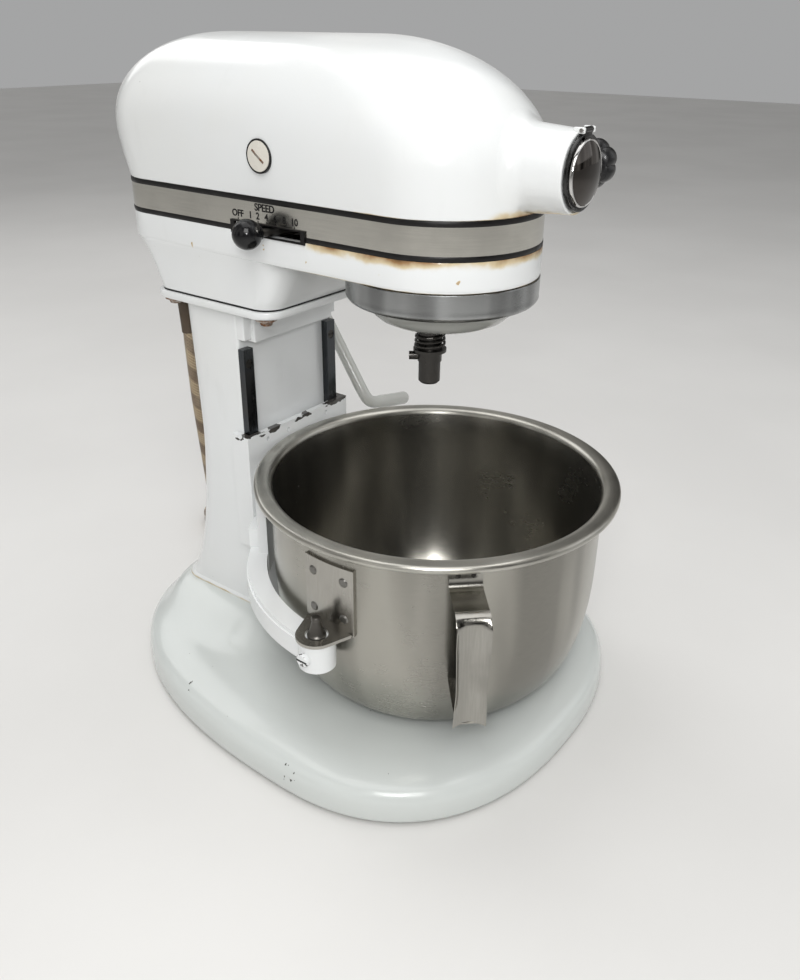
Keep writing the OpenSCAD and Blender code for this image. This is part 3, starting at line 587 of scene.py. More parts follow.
BOX_FACES = [(0, 2, 3, 1), (4, 5, 7, 6), (0, 1, 5, 4), (2, 6, 7, 3), (0, 4, 6, 2), (1, 3, 7, 5)]


def block(name, corner, size, material, width=0.8):
    """A box from its lowest corner and size, with rounded edges."""
    x, y, z = corner
    dx, dy, dz = size
    points = [at(x + i * dx, y + j * dy, z + k * dz) for k in (0, 1) for j in (0, 1) for i in (0, 1)]
    return bevel(solid(name, points, BOX_FACES, material), width, 3)


def merge(name, objects):
    """Joins meshes into one object, keeping their materials and modifiers' results."""
    points, faces, mats, index = [], [], [], []
    for obj in objects:
        mesh = baked(obj)
        base = len(points)
        points += [obj.matrix_world @ v.co for v in mesh.vertices]
        material = obj.data.materials[0]
        if material not in mats:
            mats.append(material)
        for polygon in mesh.polygons:
            faces.append(tuple(base + v for v in polygon.vertices))
            index.append(mats.index(material))
        bpy.data.meshes.remove(mesh)
        bpy.data.objects.remove(obj)
    joined = solid(name, points, faces, mats[0])
    for material in mats[1:]:
        joined.data.materials.append(material)
    joined.data.polygons.foreach_set("material_index", index)
    return joined


def cut(obj, tool):
    """Takes the tool's space out of the object and deletes the tool."""
    modifier = obj.modifiers.new("cut", "BOOLEAN")
    modifier.operation = "DIFFERENCE"
    modifier.solver = "EXACT"
    modifier.object = tool
    mesh = baked(obj)
    obj.modifiers.clear()
    obj.data = mesh
    mesh.set_sharp_from_angle(angle=math.radians(38))
    bpy.data.objects.remove(tool)


def piece(obj, body, slot, *nodes):
    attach(obj, body)
    if nodes:
        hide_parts(*nodes)
    return obj


def outline(points, z):
    return [at(x, y, z) for x, y in points]


def powered(value, power):
    return math.copysign(abs(value) ** power, value)


def ring_of(count):
    """Angles of evenly spaced points round a circle."""
    return [2 * math.pi * k / count for k in range(count)]


def moved(by):
    return Matrix.Translation(by)


def ease(t):
    t = min(1.0, max(0.0, t))
    return t * t * (3 - 2 * t)


# ---- cord

CORD_D = 7.0
COIL_AT = (95, 275)
COIL_R = 11 * CORD_D / 2
CORD_ROUTE = [(-31, 190.5, 259), (-31, 190.5, 250), (-31, 190.8, 238), (-30, 192, 225), (-28, 194, 211),
              (-25.5, 196.5, 196), (-22.5, 199.5, 180), (-19, 202.5, 164), (-15, 206, 148), (-11, 209.5, 132),
              (-7, 213, 116), (-3, 216.5, 100), (1, 220.5, 84), (5, 225.5, 68.5), (9.5, 231.5, 54),
              (15, 238, 41), (22, 244, 29.5), (30.5, 248.5, 19.5), (40.5, 250, 11.5), (51, 247, 6.3),
              (61.5, 241, 3.9), (72.5, 236, 3.5), (84, 233.5, 3.5)]
TAIL_ROUTE = [(130, 247.5, 10.3), (139, 256, 7.6), (145.5, 266, 5.4), (149.5, 277, 5.8), (151, 288, 7.1)]
COIL_START, COIL_END = -90, 1020
COIL_STEP = 15


def coil_point(turn):
    """A point of the winding: out, in, up onto the first layer, and out again."""
    half = CORD_D / 2
    side = half - 2 * half * ease((turn - 190) / 60) + 2 * half * ease((turn - 800) / 60)
    z = half + 2 * half * ease((turn - 500) / 75)
    a = math.radians(turn)
    r = COIL_R + side
    return (COIL_AT[0] + r * math.cos(a), COIL_AT[1] + r * math.sin(a), z)


def make_cord():
    turns = [coil_point(turn) for turn in range(COIL_START, COIL_END + 1, COIL_STEP)]
    route = [at(*p) for p in CORD_ROUTE + turns + TAIL_ROUTE]
    path = smooth_path(route, 3 * MM)
    cord = piece(tube("power_cord", path, CORD_D / 2 * MM, BRAID, 16), "stand", "braid", "cord", "cord_coil")
    plug = make_plug()


PLUG_TURN = 82
PLUG_LEVELS = ((0, 4.0, 4.0), (1.5, 5.2, 4.8), (5, 5.6, 5.0), (7, 8.2, 6.2), (10, 9.0, 6.9),
               (16, 8.4, 6.6), (21, 8.8, 6.8), (25, 8.9, 6.9), (26, 8.3, 6.3))


def make_plug():
    """Moulded two-blade plug, lying on its side."""
    turn = Matrix.Rotation(math.radians(PLUG_TURN), 3, "Z")
    origin = Vector(TAIL_ROUTE[-1])

    def local(x, y, z):
        p = turn @ Vector((x, y, z))
        return at(origin.x + p.x, origin.y + p.y, p.z)

    oval = [(powered(math.cos(a), 0.55), powered(math.sin(a), 0.55)) for a in ring_of(32)]
    rings = [[local(x, w * wide, 7.1 + h * tall) for wide, tall in oval] for x, w, h in PLUG_LEVELS]
    body = skin("plug_body", rings, RUBBER)
    blades = []
    for side in (-6.4, 6.4):
        points = [local(26 + i * 17, side + j * 0.8, 4 + k * 6.4)
                  for k in (0, 1) for j in (-1, 1) for i in (0, 1)]
        blades.append(bevel(solid("plug_blade", points, BOX_FACES, BRASS), 0.3))
    return piece(merge("plug_moulded", [body] + blades), "stand", "rubber", "plug")


make_cord()

# ---- head

BULGE_Z = 365
HEAD_HALF = 59.0
NOSE_R = 56.0
FLANK_HALF = 53.5


def quarter(u, n):
    u = min(1.0, max(0.0, u))
    return max(0.0, 1 - u ** n) ** (1 / n)


def nose_plan(w, wr, ln, cn, yr, rc, step=3):
    """Outline with an elliptic nose, straight flanks and rounded rear corners."""
    angles = [math.radians(a) for a in range(180, 361, step)]
    points = [(w * math.cos(a), cn + ln * math.sin(a)) for a in angles]
    flank = [(w + (wr - w) * t, cn + (yr - rc - cn) * t) for t in (k / 12 for k in range(1, 12))]
    points += flank
    points += arc(wr - rc, yr - rc, rc, 0, 90, 14)
    points += [((wr - rc) * (1 - k / 4), yr) for k in (2, 4, 6)]
    points += arc(-(wr - rc), yr - rc, rc, 90, 180, 14)
    return points + [(-x, y) for x, y in reversed(flank)]


def band_plan(inset):
    return nose_plan(NOSE_R - inset, FLANK_HALF - inset, NOSE_R - inset, 0, 225 - inset, 32 - inset)


def shell_ring(z, inset=0.0):
    k = (z - BAND_HI) / (TOP - BAND_HI)
    if z > BULGE_Z:
        w = 5 + (HEAD_HALF - 5) * quarter((z - BULGE_Z) / (TOP - BULGE_Z), 2.3)
    else:
        w = HEAD_HALF - (HEAD_HALF - NOSE_R) * ((BULGE_Z - z) / (BULGE_Z - BAND_HI)) ** 1.6
    front = -NOSE_R + (100 * (1 - quarter((z - 358) / (TOP - 358), 2)) if z > 358 else 0)
    if z > 368:
        rear = 230 - 75 * (1 - quarter((z - 368) / (TOP - 368), 2))
    else:
        rear = 230 - 5 * ((368 - z) / (368 - BAND_HI)) ** 1.5
    nose = NOSE_R + 22 * (max(0, z - 358) / (TOP - 358)) ** 1.3
    wr = w - 2.5 * (1 - k)
    rc = min(0.62 * wr, 34 + 12 * k)
    plan = nose_plan(w - inset, wr - inset, nose - inset, front + nose, rear - inset, rc)
    return outline(plan, z)


def make_head():
    """Upper shell: lofted dome with a drawn-in lower lip, the attachment hub and its fillet."""
    lower = [BAND_HI + 0.4 + (BULGE_Z - BAND_HI) * k / 10 for k in range(10)]
    upper = [BULGE_Z + (TOP - BULGE_Z) * math.sin(math.radians(a)) for a in
             (0, 5, 10, 15, 20, 25, 30, 35, 40, 45, 50, 55, 60, 64, 68, 72, 75.5, 79, 82, 84.5, 87, 88.6, 90)]
    rings = [shell_ring(BAND_HI, 6), shell_ring(BAND_HI, 0.5)] + [shell_ring(z) for z in lower + upper]
    shell = skin("shell", rings, HEAD_PAINT, ends=(False, True), angle=50)
    mesh = shell.data
    tree = BVHTree.FromPolygons([v.co for v in mesh.vertices], [p.vertices for p in mesh.polygons])
    hub = make_hub(tree)
    lugs = [block("lug", (s * 5.3 - 1.2, -84.0, HUB_Z + 18.6), (2.4, 6, 3.1), HEAD_PAINT)
            for s in (-1, 1)]
    boss = lathe("boss", [(7, 14), (7, 23.2), (6.4, 24), (3.1, 24)], HEAD_PAINT, (0, -70, HUB_Z), "x", 40)
    piece(merge("head_cover", [shell, hub, boss] + lugs), "stand", "white_enamel", "head_shell")


def make_hub(tree):
    """Round boss on the nose with a socket in front and a soft fillet at its root."""
    columns = []
    fillet = 8.0
    for a in ring_of(96):
        c, s = math.cos(a), math.sin(a)
        room = 99 if s >= 0 else (HUB_Z - BAND_HI - 0.4) / max(1e-6, -s) - (HUB_R + 2)
        f = max(0.4, min(fillet, room))

        def on_shell(r):
            return tree.ray_cast(at(r * c, -140, HUB_Z + r * s), Vector((0, 1, 0)))[0]

        root_r = HUB_R + 1.8
        root = on_shell(root_r)
        foot = on_shell(root_r + f) or root
        root_y = root.y / MM - AXIS_Y
        start_y = root_y - f * 1.15
        column = [(7.1, -48), (15.5, -48), (15.5, -79.8), (18.9, -79.8), (18.9, -80.3), (19.2, HUB_FACE),
                  (20.0, HUB_FACE), (20.35, HUB_FACE + 0.25), (HUB_R, HUB_FACE + 0.7)]
        for t in (0.3, 0.65, 1.0):
            y = HUB_FACE + 0.7 + (start_y - HUB_FACE - 0.7) * t
            column.append((HUB_R + 1.8 * max(0, (y + 78) / 24), y))
        points = [at(r * c, y, HUB_Z + r * s) for r, y in column]
        last = points[-1]
        corner = at(root_r * c, root_y, HUB_Z + root_r * s)
        for t in (k / 10 for k in range(1, 11)):
            points.append(last * (1 - t) ** 2 + corner * 2 * t * (1 - t) + foot * t * t)
        points.append(foot + Vector((0, 1.5 * MM, 0)))
        columns.append(points)
    rings = [[column[i] for column in columns] for i in range(len(columns[0]))]
    return skin("hub", rings, HEAD_PAINT, ends=(False, False), angle=38)


def rounded(w, y0, y1, r):
    """Rectangle with rounded corners, symmetric in x."""
    points = []
    near, far = y0 + r, y1 - r
    for cx, cy, start in ((r - w, near, 180), (w - r, near, 270), (w - r, far, 0), (r - w, far, 90)):
        points += arc(cx, cy, r, start, start + 90, 12)
    return points


def make_case():
    """Lower half of the head: a skirt that follows the band, and a box that carries it on the column."""
    lip = ((4.2, 0), (1.6, 0.1), (0.5, 0.7), (0.1, 1.8), (0, 3))
    levels = [(inset, SKIRT_Z + rise) for inset, rise in lip]
    levels += [(0, BAND_LO - 0.5), (0.15, BAND_LO - 0.15), (0.6, BAND_LO), (1.4, BAND_LO), (1.4, BAND_HI),
               (5.4, BAND_HI), (5.4, SKIRT_Z + 2), (12, SKIRT_Z + 2), (12, SKIRT_Z)]
    skirt = skin("skirt", [outline(band_plan(i), z) for i, z in levels], CASE_PAINT, close=True)
    y0, y1 = SLOT[0] + 3, SLOT[1] - 3
    tool = block("slot_tool", (-70, y0, SLOT_Z - 3.2), (30, y1 - y0, 6.4), CASE_PAINT, 0.01)
    cut(skirt, tool)
    shape = ((CASE_Z, 49.4, 92.6, 196.4, 13.4), (CASE_Z + 0.6, 50, 92, 197, 14), (274, 50.4, 88.5, 199.8, 15),
             (281, 50.9, 85.2, 203.3, 16.5), (288, 51.6, 82, 207.2, 18), (292, 52.3, 79.6, 211, 21),
             (295, 52.9, 76.6, 214.6, 24), (296.8, 53.3, 73, 217, 26), (297.8, 53.5, 69, 218.6, 28),
             (298.6, 53.6, 62, 219.6, 29), (300, 53.4, 58, 219.8, 29))
    box = skin("box", [outline(rounded(*s[1:]), s[0]) for s in shape], CASE_PAINT)
    floor = lathe("floor", [(33, SKIRT_Z + 2), (46, SKIRT_Z + 2), (50, SKIRT_Z + 0.2), (33, SKIRT_Z + 0.2)],
                  CASE_PAINT, close=True)
    piece(merge("gearcase_cover", [skirt, box, floor]), "stand", "white_enamel", "gearcase")


def flank_x(y):
    return -(NOSE_R + (FLANK_HALF - NOSE_R) * y / 193)


def strip(name, low_z, high_z, inset, material, gap, soft=(0.0, 0.0)):
    """A flat strip round the head, with a gap where the speed slot is; soft rounds its two edges."""
    plan, inner = band_plan(inset), band_plan(inset + 1.1)
    n = len(plan)
    keep = [not (gap and x < 0 and SLOT[0] - 0.2 < y < SLOT[1] + 0.2) for x, y in plan]
    first = next(k for k in range(n) if keep[k] and not keep[k - 1]) if gap else 0
    order = [(first + k) % n for k in range(n) if keep[(first + k) % n]]
    pairs = [(plan[k], inner[k]) for k in order]
    if gap:
        start, end = (((flank_x(y) + inset, y), (flank_x(y) + inset + 1.1, y)) for y in SLOT)
        pairs = [start] + pairs + [end]
    levels = [(low_z, 1.0), (low_z, 0.4 * soft[0]), (low_z + soft[0], 0.0)]
    levels += [(high_z - soft[1], 0.0), (high_z, 0.4 * soft[1]), (high_z, 1.0)]
    rings = [[at(ox + (ix - ox) * blend, oy + (iy - oy) * blend, z) for (ox, oy), (ix, iy) in pairs]
             for z, blend in levels]
    return skin(name, rings, material, loop=not gap, ends=(False, False))


def make_band():
    lower, upper = BAND_LO + 3, BAND_HI - 3
    bands = [strip("band", SLOT_Z + 3.8, upper, 0.25, BAND_METAL, False),
             strip("band", lower, SLOT_Z + 3.8, 0.25, BAND_METAL, True)]
    piece(merge("metal_band", bands), "stand", "band_metal", "trim_band")
    stripes = [strip("stripe", upper, BAND_HI, 0.0, BLACK_PAINT, False, (0.5, 0.7)),
               strip("stripe", BAND_LO, lower, 0.0, BLACK_PAINT, True, (0.7, 0.5))]
    piece(merge("band_stripes", stripes), "stand", "black_paint", "trim_stripes")


def lettering(text, y, z, size):
    """Flat generic letters that lie on the band, as a mesh."""
    curve = bpy.data.curves.new("letters", "FONT")
    curve.body = text
    curve.size = size * MM
    curve.align_x = "CENTER"
    curve.extrude = 0.05 * MM
    curve.offset = 0.14 * MM
    obj = bpy.data.objects.new("letters", curve)
    along = Vector((flank_x(y - 1) - flank_x(y), -1, 0)).normalized()
    turn = Matrix((along, Vector((0, 0, 1)), along.cross(Vector((0, 0, 1))))).transposed()
    obj.matrix_world = moved(at(flank_x(y) + 0.17, y, z)) @ turn.to_4x4()
    show(obj)
    bpy.context.view_layer.update()
    mesh = baked(obj)
    mesh.transform(obj.matrix_world)
    mesh.materials.clear()
    mesh.materials.append(BLACK_PAINT)
    letters = bpy.data.objects.new("letters", mesh)
    show(letters)
    bpy.data.objects.remove(obj)
    return letters


SPEEDS = (("OFF", 108), ("1", 97.6), ("2", 91.7), ("4", 84.8), ("6", 77.7), ("8", 70.7), ("10", 63))


def make_scale():
    marks = [lettering(text, y, 323.4, 5.4) for text, y in SPEEDS]
    marks.append(lettering("SPEED", 86, 328.2, 5.8))
    for _, y in SPEEDS:
        marks.append(block("tick", (flank_x(y) + 0.1, y - 0.25, 321.6), (0.12, 0.5, 1.1), BLACK_PAINT, 0.02))
    piece(merge("speed_marks", marks), "stand", "black_paint", "speed_scale")


def make_brush_caps():
    """Screwed caps over the motor brushes: cream discs with a slot, in a dark recess."""
    parts = []
    face = 59.5
    centre = (0, BRUSH_Y, HUB_Z)
    disc_profile = ((8.3, 50.5), (8.3, face - 0.6), (8.0, face - 0.15), (7.2, face), (0.001, face + 0.05))
    groove_profile = ((8.25, 57.0), (8.25, 59.0), (8.5, 59.25), (8.9, 59.3), (9.15, 59.1), (9.15, 57.0))
    spin = moved(at(*centre)) @ Matrix.Rotation(math.radians(38), 4, "X") @ moved(-at(*centre))
    for s in (-1, 1):
        disc, groove = ([(r, s * h) for r, h in profile] for profile in (disc_profile, groove_profile))
        disc = lathe("disc", disc, CREAM_PLASTIC, centre, "x", 64)
        groove = lathe("groove", groove, BLACK_PAINT, centre, "x", 64, close=True)
        slot = block("slot", (s * face - 0.4, BRUSH_Y - 5.2, HUB_Z - 0.55), (0.5, 10.4, 1.1), RUSTY, 0.1)
        slot.data.transform(spin)
        parts += [disc, groove, slot]
    piece(merge("brush_cap_discs", parts), "stand", "cream_plastic", "brush_caps")


def make_hub_cover():
    """Hinged cover of the hub: a dark outer ring, a groove and a chromed dome, whose chrome is made nearly
    black as a painted dark reflection.
    """
    def turned(name, profile, material, **more):
        return lathe(name, [(r, -h) for r, h in profile], material, (0, 0, HUB_Z), "y", 96, **more)

    dome = [(0.001, 87.2)]
    dome += [(r, 87.2 - 2.5 * (r / 15.2) ** 2.3) for r in (2, 4, 6, 8, 10, 11.5, 13, 14.2, 15.2)]
    # the dome's near-black chrome is a painted dark reflection
    cap = turned("cap", dome, CHROME_PAINTED_DARK)
    bead_profile = [(15.2, 84.5), (15.6, 84.75), (16.1, 84.6), (16.45, 84.0), (16.5, 82.8), (16.5, 81.4),
                    (15.2, 81.4)]
    bead = turned("bead", bead_profile, CHROME, close=True)
    rim_profile = [(16.3, 81.0), (16.6, 82.2), (17.0, 82.3), (17.5, 82.8), (18.2, 83.0), (18.6, 82.8),
                   (18.75, 82.2), (18.6, 81.0)]
    rim = turned("rim", rim_profile, COVER_RING, close=True)
    barrel = lathe("barrel", [(1.1, -3.8), (1.5, -3.8), (1.5, 3.8), (1.1, 3.8)], COVER_RING,
                   (0, mid("hub_hinge_pin", 1) - AXIS_Y, mid("hub_hinge_pin", 2)), "x", 24, close=True)
    tab = block("tab", (-3.6, -83.6, HUB_Z + 16.4), (7.2, 1.6, 3.2), COVER_RING, 0.4)
    piece(merge("hub_cap", [cap, bead, rim, barrel, tab]), "cover", "chrome", "hub_cover")


def make_knob():
    """Seven-lobed moulded knob that locks attachments."""
    x0 = low("attachment_knob", 0)
    profile = [(3.0, 0), (6.0, 0), (7.6, 1.6), (9.0, 3.6), (11.4, 4.4), (12.4, 6.0), (12.7, 8.5),
               (12.6, 11.5), (11.8, 14.0), (10.0, 15.4), (7.5, 16.0), (4.5, 15.7), (0.001, 15.5)]

    def wave(a, r):
        return 1 if r < 8 else 1 + 0.12 * (abs(math.cos(3.5 * a)) ** 0.7 - 0.82) * min(1, (r - 8) / 3)

    knob = lathe("locking_knob", profile, KNOB_PLASTIC, (x0, -70, HUB_Z), "x", 140, wave=wave)
    piece(knob, "knob", "black_plastic", "attachment_knob")


# ---- drip ring, planetary and speed lever


def make_ring():
    r = RING_R
    lower = low("drip_ring", 2)
    profile = [(r - 9, lower + 1.2), (r - 7.5, lower + 0.3), (r - 5.5, lower)]
    profile += arc(r - 4.2, lower + 4.4, 4.4, -90, -15, 8)
    profile += [(r - 0.15, lower + 4.6), (r, lower + 7), (r, SKIRT_Z - 0.4), (r - 0.3, SKIRT_Z - 0.05),
                (r - 3, SKIRT_Z), (r - 3, lower + 3.5), (r - 9, lower + 3)]
    # the collar's darkened steel is painted shade from the head above
    collar = lathe("drip_collar", profile, RING_STEEL_SHADED, sides=160, close=True)
    piece(collar, "stand", "bowl_steel", "drip_ring")
    base = low("planet_carrier", 2)
    dish = [(0.001, 0), (22, 0), (26, 0.5), (32, 1.8), (38, 4.6), (41.5, 8), (43.6, 12), (44.2, 16),
            (44.2, 24), (0.001, 24)]
    # the dish's grey enamel is painted shade
    dish = lathe("planetary_dish", [(r, base + h) for r, h in dish], DISH_PAINT_SHADED, sides=120)
    piece(dish, "planetary", "white_enamel", "planet_carrier")


def make_speed_ball():
    centre = ((low("speed_ball", 0) + high("speed_ball", 0)) / 2, mid("speed_ball", 1) - AXIS_Y, SLOT_Z)
    r = (high("speed_ball", 2) - low("speed_ball", 2)) / 2
    profile = [(2.5, -r * 1.02), (3.6, -r * 1.02), (4.0, -r * 0.92)] + arc(0, 0, r, -64, 90, 40)
    ball = lathe("ball", [(max(0.001, p), h) for p, h in profile], BLACK_PLASTIC, (0, 0, 0), "z", 64)
    lean = math.atan(0.364)
    turn = Matrix.Rotation(-lean, 4, "Z") @ Matrix.Rotation(math.radians(-90), 4, "Y")
    ball.data.transform(moved(at(*centre)) @ turn @ moved(-at(0, 0, 0)))
    ball.name = "lever_ball"
    piece(ball, "speed_lever", "black_plastic", "speed_ball")


# ---- base and column

BASE_HALF = 143.5
BASE_FRONT, BASE_REAR, WIDEST_Y = 126, 214, 16
BASE_POWER = 2.4
DECK_Z = 27


def base_point(a, inset, scale=1.0):
    c, s = math.cos(a), math.sin(a)
    b = BASE_FRONT if s < 0 else BASE_REAR
    x = (BASE_HALF - inset) * powered(c, 2 / BASE_POWER)
    y = (b - inset) * powered(s, 2 / BASE_POWER)
    return x * scale, WIDEST_Y + y * scale


def foot_distance(x, y):
    """How far a point of the deck is from the column's foot."""
    dx = max(0.0, abs(x) - 40)
    dy = max(0.0, 127 - y, y - 198)
    return math.hypot(dx, dy)


def make_base():
    """Cast base: a rounded edge, a nearly flat deck and a swelling under the column."""
    edge = ((2.5, 3.5), (2.5, 0.9), (3.2, 0.3), (5, 0), (11, 0.1), (15, 0.4), (18.3, 1.2), (20.8, 2.6),
            (22.7, 4.7), (24.1, 7.6), (25.2, 11.4), (26.0, 16), (26.6, 21.3), (26.9, 27))
    angles = ring_of(192)

    def swell(x, y):
        return (1 - ease((foot_distance(x, y) - 9) / 50)) ** 1.25 * (PAD_Z - DECK_Z)

    def ring(z, inset, share, scale=1.0):
        """A ring of the top that takes a share of the swelling."""
        points = [base_point(a, inset, scale) for a in angles]
        return [at(x, y, z + swell(x, y) * share) for x, y in points]

    steps = 44
    rings = [ring(z, inset, ease((inset - 5) / 14)) for z, inset in edge]
    rings += [ring(26.9 + 0.1 * ease(k / 5), 27, 1, 1 - k / steps) for k in range(1, steps)]
    # the base takes the darker enamel: painted shade
    base = skin("base_body", rings, BASE_PAINT_SHADED, ends=(False, True))
    inside = [[at(*base_point(a, inset), z) for a in angles] for inset, z in ((3.5, 2.5), (8, 14), (24, 21))]
    under = skin("base_inside", inside, BASE_PAINT_SHADED, ends=(False, True))
    piece(merge("base_plate", [base, under]), "stand", "white_enamel", "base_casting")


COLUMN_LEVELS = ((39, 47, 120, 205), (56, 46, 124, 196), (82, 45, 127, 189), (116, 45, 127, 183),
                 (160, 45, 127, 179), (210, 45, 127, 180.5), (261, 45, 127, 183))


def column_at(z):
    for (z0, *a), (z1, *b) in zip(COLUMN_LEVELS, COLUMN_LEVELS[1:]):
        if z <= z1:
            t = (z - z0) / (z1 - z0)
            return [p + (q - p) * t for p, q in zip(a, b)]
    return COLUMN_LEVELS[-1][1:]


def column_ring(z, grow=0.0):
    spread = 9
    around = [column_at(min(261, max(39, z + dz))) for dz in (-spread, 0, spread)]
    w, y0, y1 = (sum(values) / 3 for values in zip(*around))
    if z < 48:
        w, y0, y1 = column_at(z)
    w, y0, y1 = w + grow, y0 - grow, y1 + grow
    points = arc(-(w - 2), y0 + 2, 2, 180, 270, 5) + arc(w - 2, y0 + 2, 2, 270, 360, 5)
    points += arc(w - 18, y1 - 18, 18, 0, 90, 14) + arc(-(w - 18), y1 - 18, 18, 90, 180, 14)
    return outline(points, z)


def make_column():
    """Hollow column with a lipped foot, the stop above the slide and the flange under the head."""
    foot = ((38.3, 0.4), (38.6, 1.4), (40.2, 1.5), (41.2, 0.9), (42.0, 0.1))
    rings = [column_ring(z, grow) for z, grow in foot] + [column_ring(z) for z in range(44, 262, 6)]
    body = skin("shaft", rings + [column_ring(261)], COLUMN_PAINT)
    flange = ((FLANGE_Z, 50.6), (FLANGE_Z + 0.4, 51.5), (FLANGE_Z + 1.4, 52), (CASE_Z - 1.9, 52),
              (CASE_Z - 1.1, 51.7), (CASE_Z - 0.9, 51))
    rings = [outline(rounded(w, 91 + 52 - w, 199 - 52 + w, 14), z) for z, w in flange]
    plate = skin("flange", rings, PLAIN_PAINT)
    stop_z = high("slide_rails", 2) + 4
    stop = block("stop", (-38, 118, stop_z), (76, 12, FLANGE_Z - stop_z + 0.5), PLAIN_PAINT, 1.0)
    size = (8.4, 12, FLANGE_Z - stop_z - 1)
    cheek = [block("cheek", (s * 40.2 - 4.2, 121, stop_z + 2), size, PLAIN_PAINT) for s in (-1, 1)]
    piece(merge("column_cover", [body, plate, stop] + cheek), "stand", "white_enamel", "column")
    gasket = rounded(49.7, 92.4, 196.8, 13.7)
    seam = skin("seam", [outline(gasket, z) for z in (CASE_Z - 1, CASE_Z + 0.3)], BLACK_PAINT)
    seam.name = "head_gasket"
    piece(seam, "stand", "black_paint")


# ---- bowl


def bowl_curve(inset, steps=40):
    flat, top, n = 64, BOWL_Z + 90, 2.5
    points = []
    for k in range(steps + 1):
        a = math.radians(90 - 90 * k / steps)
        c, s = max(0.0, math.cos(a)), max(0.0, math.sin(a))
        r = flat + (BOWL_R - flat) * c ** (2 / n) - inset * c ** 0.4
        points.append((r, top - (top - BOWL_Z) * s ** (2 / n) + inset * s ** 0.4))
    return points


def make_bowl():
    """Spun bowl with a broad rolled rim; the rim and the top of the wall take a lighter copy of the steel as
    painted light.
    """
    t = 1.4
    bead_r = 2.4
    bead = (RIM_R - bead_r, RIM_Z - bead_r - 0.2)
    profile = [(0.001, BOWL_Z), (30, BOWL_Z)] + bowl_curve(0)
    profile += [(BOWL_R, RIM_Z - 20), (BOWL_R, RIM_Z - 6.5)] + arc(109, RIM_Z - 6.5, 3, 180, 100, 6)
    profile += [(bead[0] - 1.6, RIM_Z - 3.4)] + arc(bead[0], bead[1], bead_r, -140, 85, 16)
    profile += [(109.5, RIM_Z), (107.6, RIM_Z - 0.25), (106.2, RIM_Z - 0.9), (105.2, RIM_Z - 2.0)]
    profile += [(BOWL_R - t, RIM_Z - 3.6), (BOWL_R - t, RIM_Z - 20)]
    profile += list(reversed(bowl_curve(t))) + [(30, BOWL_Z + t), (0.001, BOWL_Z + t)]
    bowl = lathe("mixing_bowl", profile, BOWL_STEEL, sides=192, angle=60)
    bowl.data.materials.append(RIM_STEEL_PAINTED_LIGHT)
    # faces near the top get the lighter steel: painted light
    for polygon in bowl.data.polygons:
        polygon.material_index = int(polygon.center.z > (RIM_Z - 6.6) * MM)
    piece(bowl, "bowl", "bowl_steel", "bowl")


HANDLE_ANGLE = math.atan2(mid("bowl_handle", 1) - AXIS_Y, mid("bowl_handle", 0))


def make_bowl_handle():
    """Bent strap handle: a welded tab, a shoulder, a hollow grip with raised edges, and a stay below."""
    line = [(106.2, 162.5), (107.6, 162.3), (107.9, 158), (108.0, 154.2), (109.2, 152.4), (112, 151.2),
            (118, 150.4), (125, 149.6)]
    line += arc(126.6, 139.6, 10, 88, 8, 10)
    line += [(136.6, 130), (136.5, 115), (136.2, 100), (135.9, 88), (135.6, 77.4)]
    half = [(9.7, -0.2), (9.5, 0.6), (9.1, 0.75), (8.4, 0.1), (6.5, -1.3), (4, -2.1), (0, -2.4)]
    outer = half[1:] + [(-u, v) for u, v in reversed(half[1:-1])]
    across = [(u, v, 0.0) for u, v in outer] + [(u * 0.985, v - 0.9, -0.9) for u, v in reversed(outer)]
    turn = Matrix.Rotation(HANDLE_ANGLE, 3, "Z")
    rings = []
    for i, (r, z) in enumerate(line):
        direction = heading(line, i)
        out = Vector((-direction.y, direction.x))
        channel = ease((i - 12) / 6)
        waist = 1 - 0.10 * math.sin(math.pi * ease((130 - z) / 52))
        ring = []
        for u, deep, flat in across:
            depth = flat + (deep - flat) * channel
            p = turn @ Vector((r + out.x * depth, u * waist, z + out.y * depth))
            ring.append(at(*p))
        rings.append(ring)
    strap = skin("strap", rings, HANDLE_STEEL, angle=50)
    welds = []
    drop = [(0.001, 1.0), (0.9, 0.8), (1.5, 0.2), (1.7, -0.3)]
    for u in (-4.2, 4.2):
        place = at(*(turn @ Vector((107.6, u, 158.6))))
        weld = lathe("weld", drop, DARK_STEEL, (0, 0, 0), "x", 20)
        weld.data.transform(moved(place) @ turn.to_4x4() @ moved(-at(0, 0, 0)))
        welds.append(weld)
    stay_line = [(104.6, 86), (107.5, 84.6), (114, 82), (124, 79.6), (133.6, 78.6)]
    stay = []
    for r, z in stay_line:
        corners = [turn @ Vector((r, u, z + v)) for u, v in ((-7, 0), (7, 0), (7, -1.1), (-7, -1.1))]
        stay.append([at(*c) for c in corners])
    lug = skin("stay", stay, HANDLE_STEEL)
    piece(merge("strap_handle", [strap, lug] + welds), "bowl", "bowl_steel", "bowl_handle")


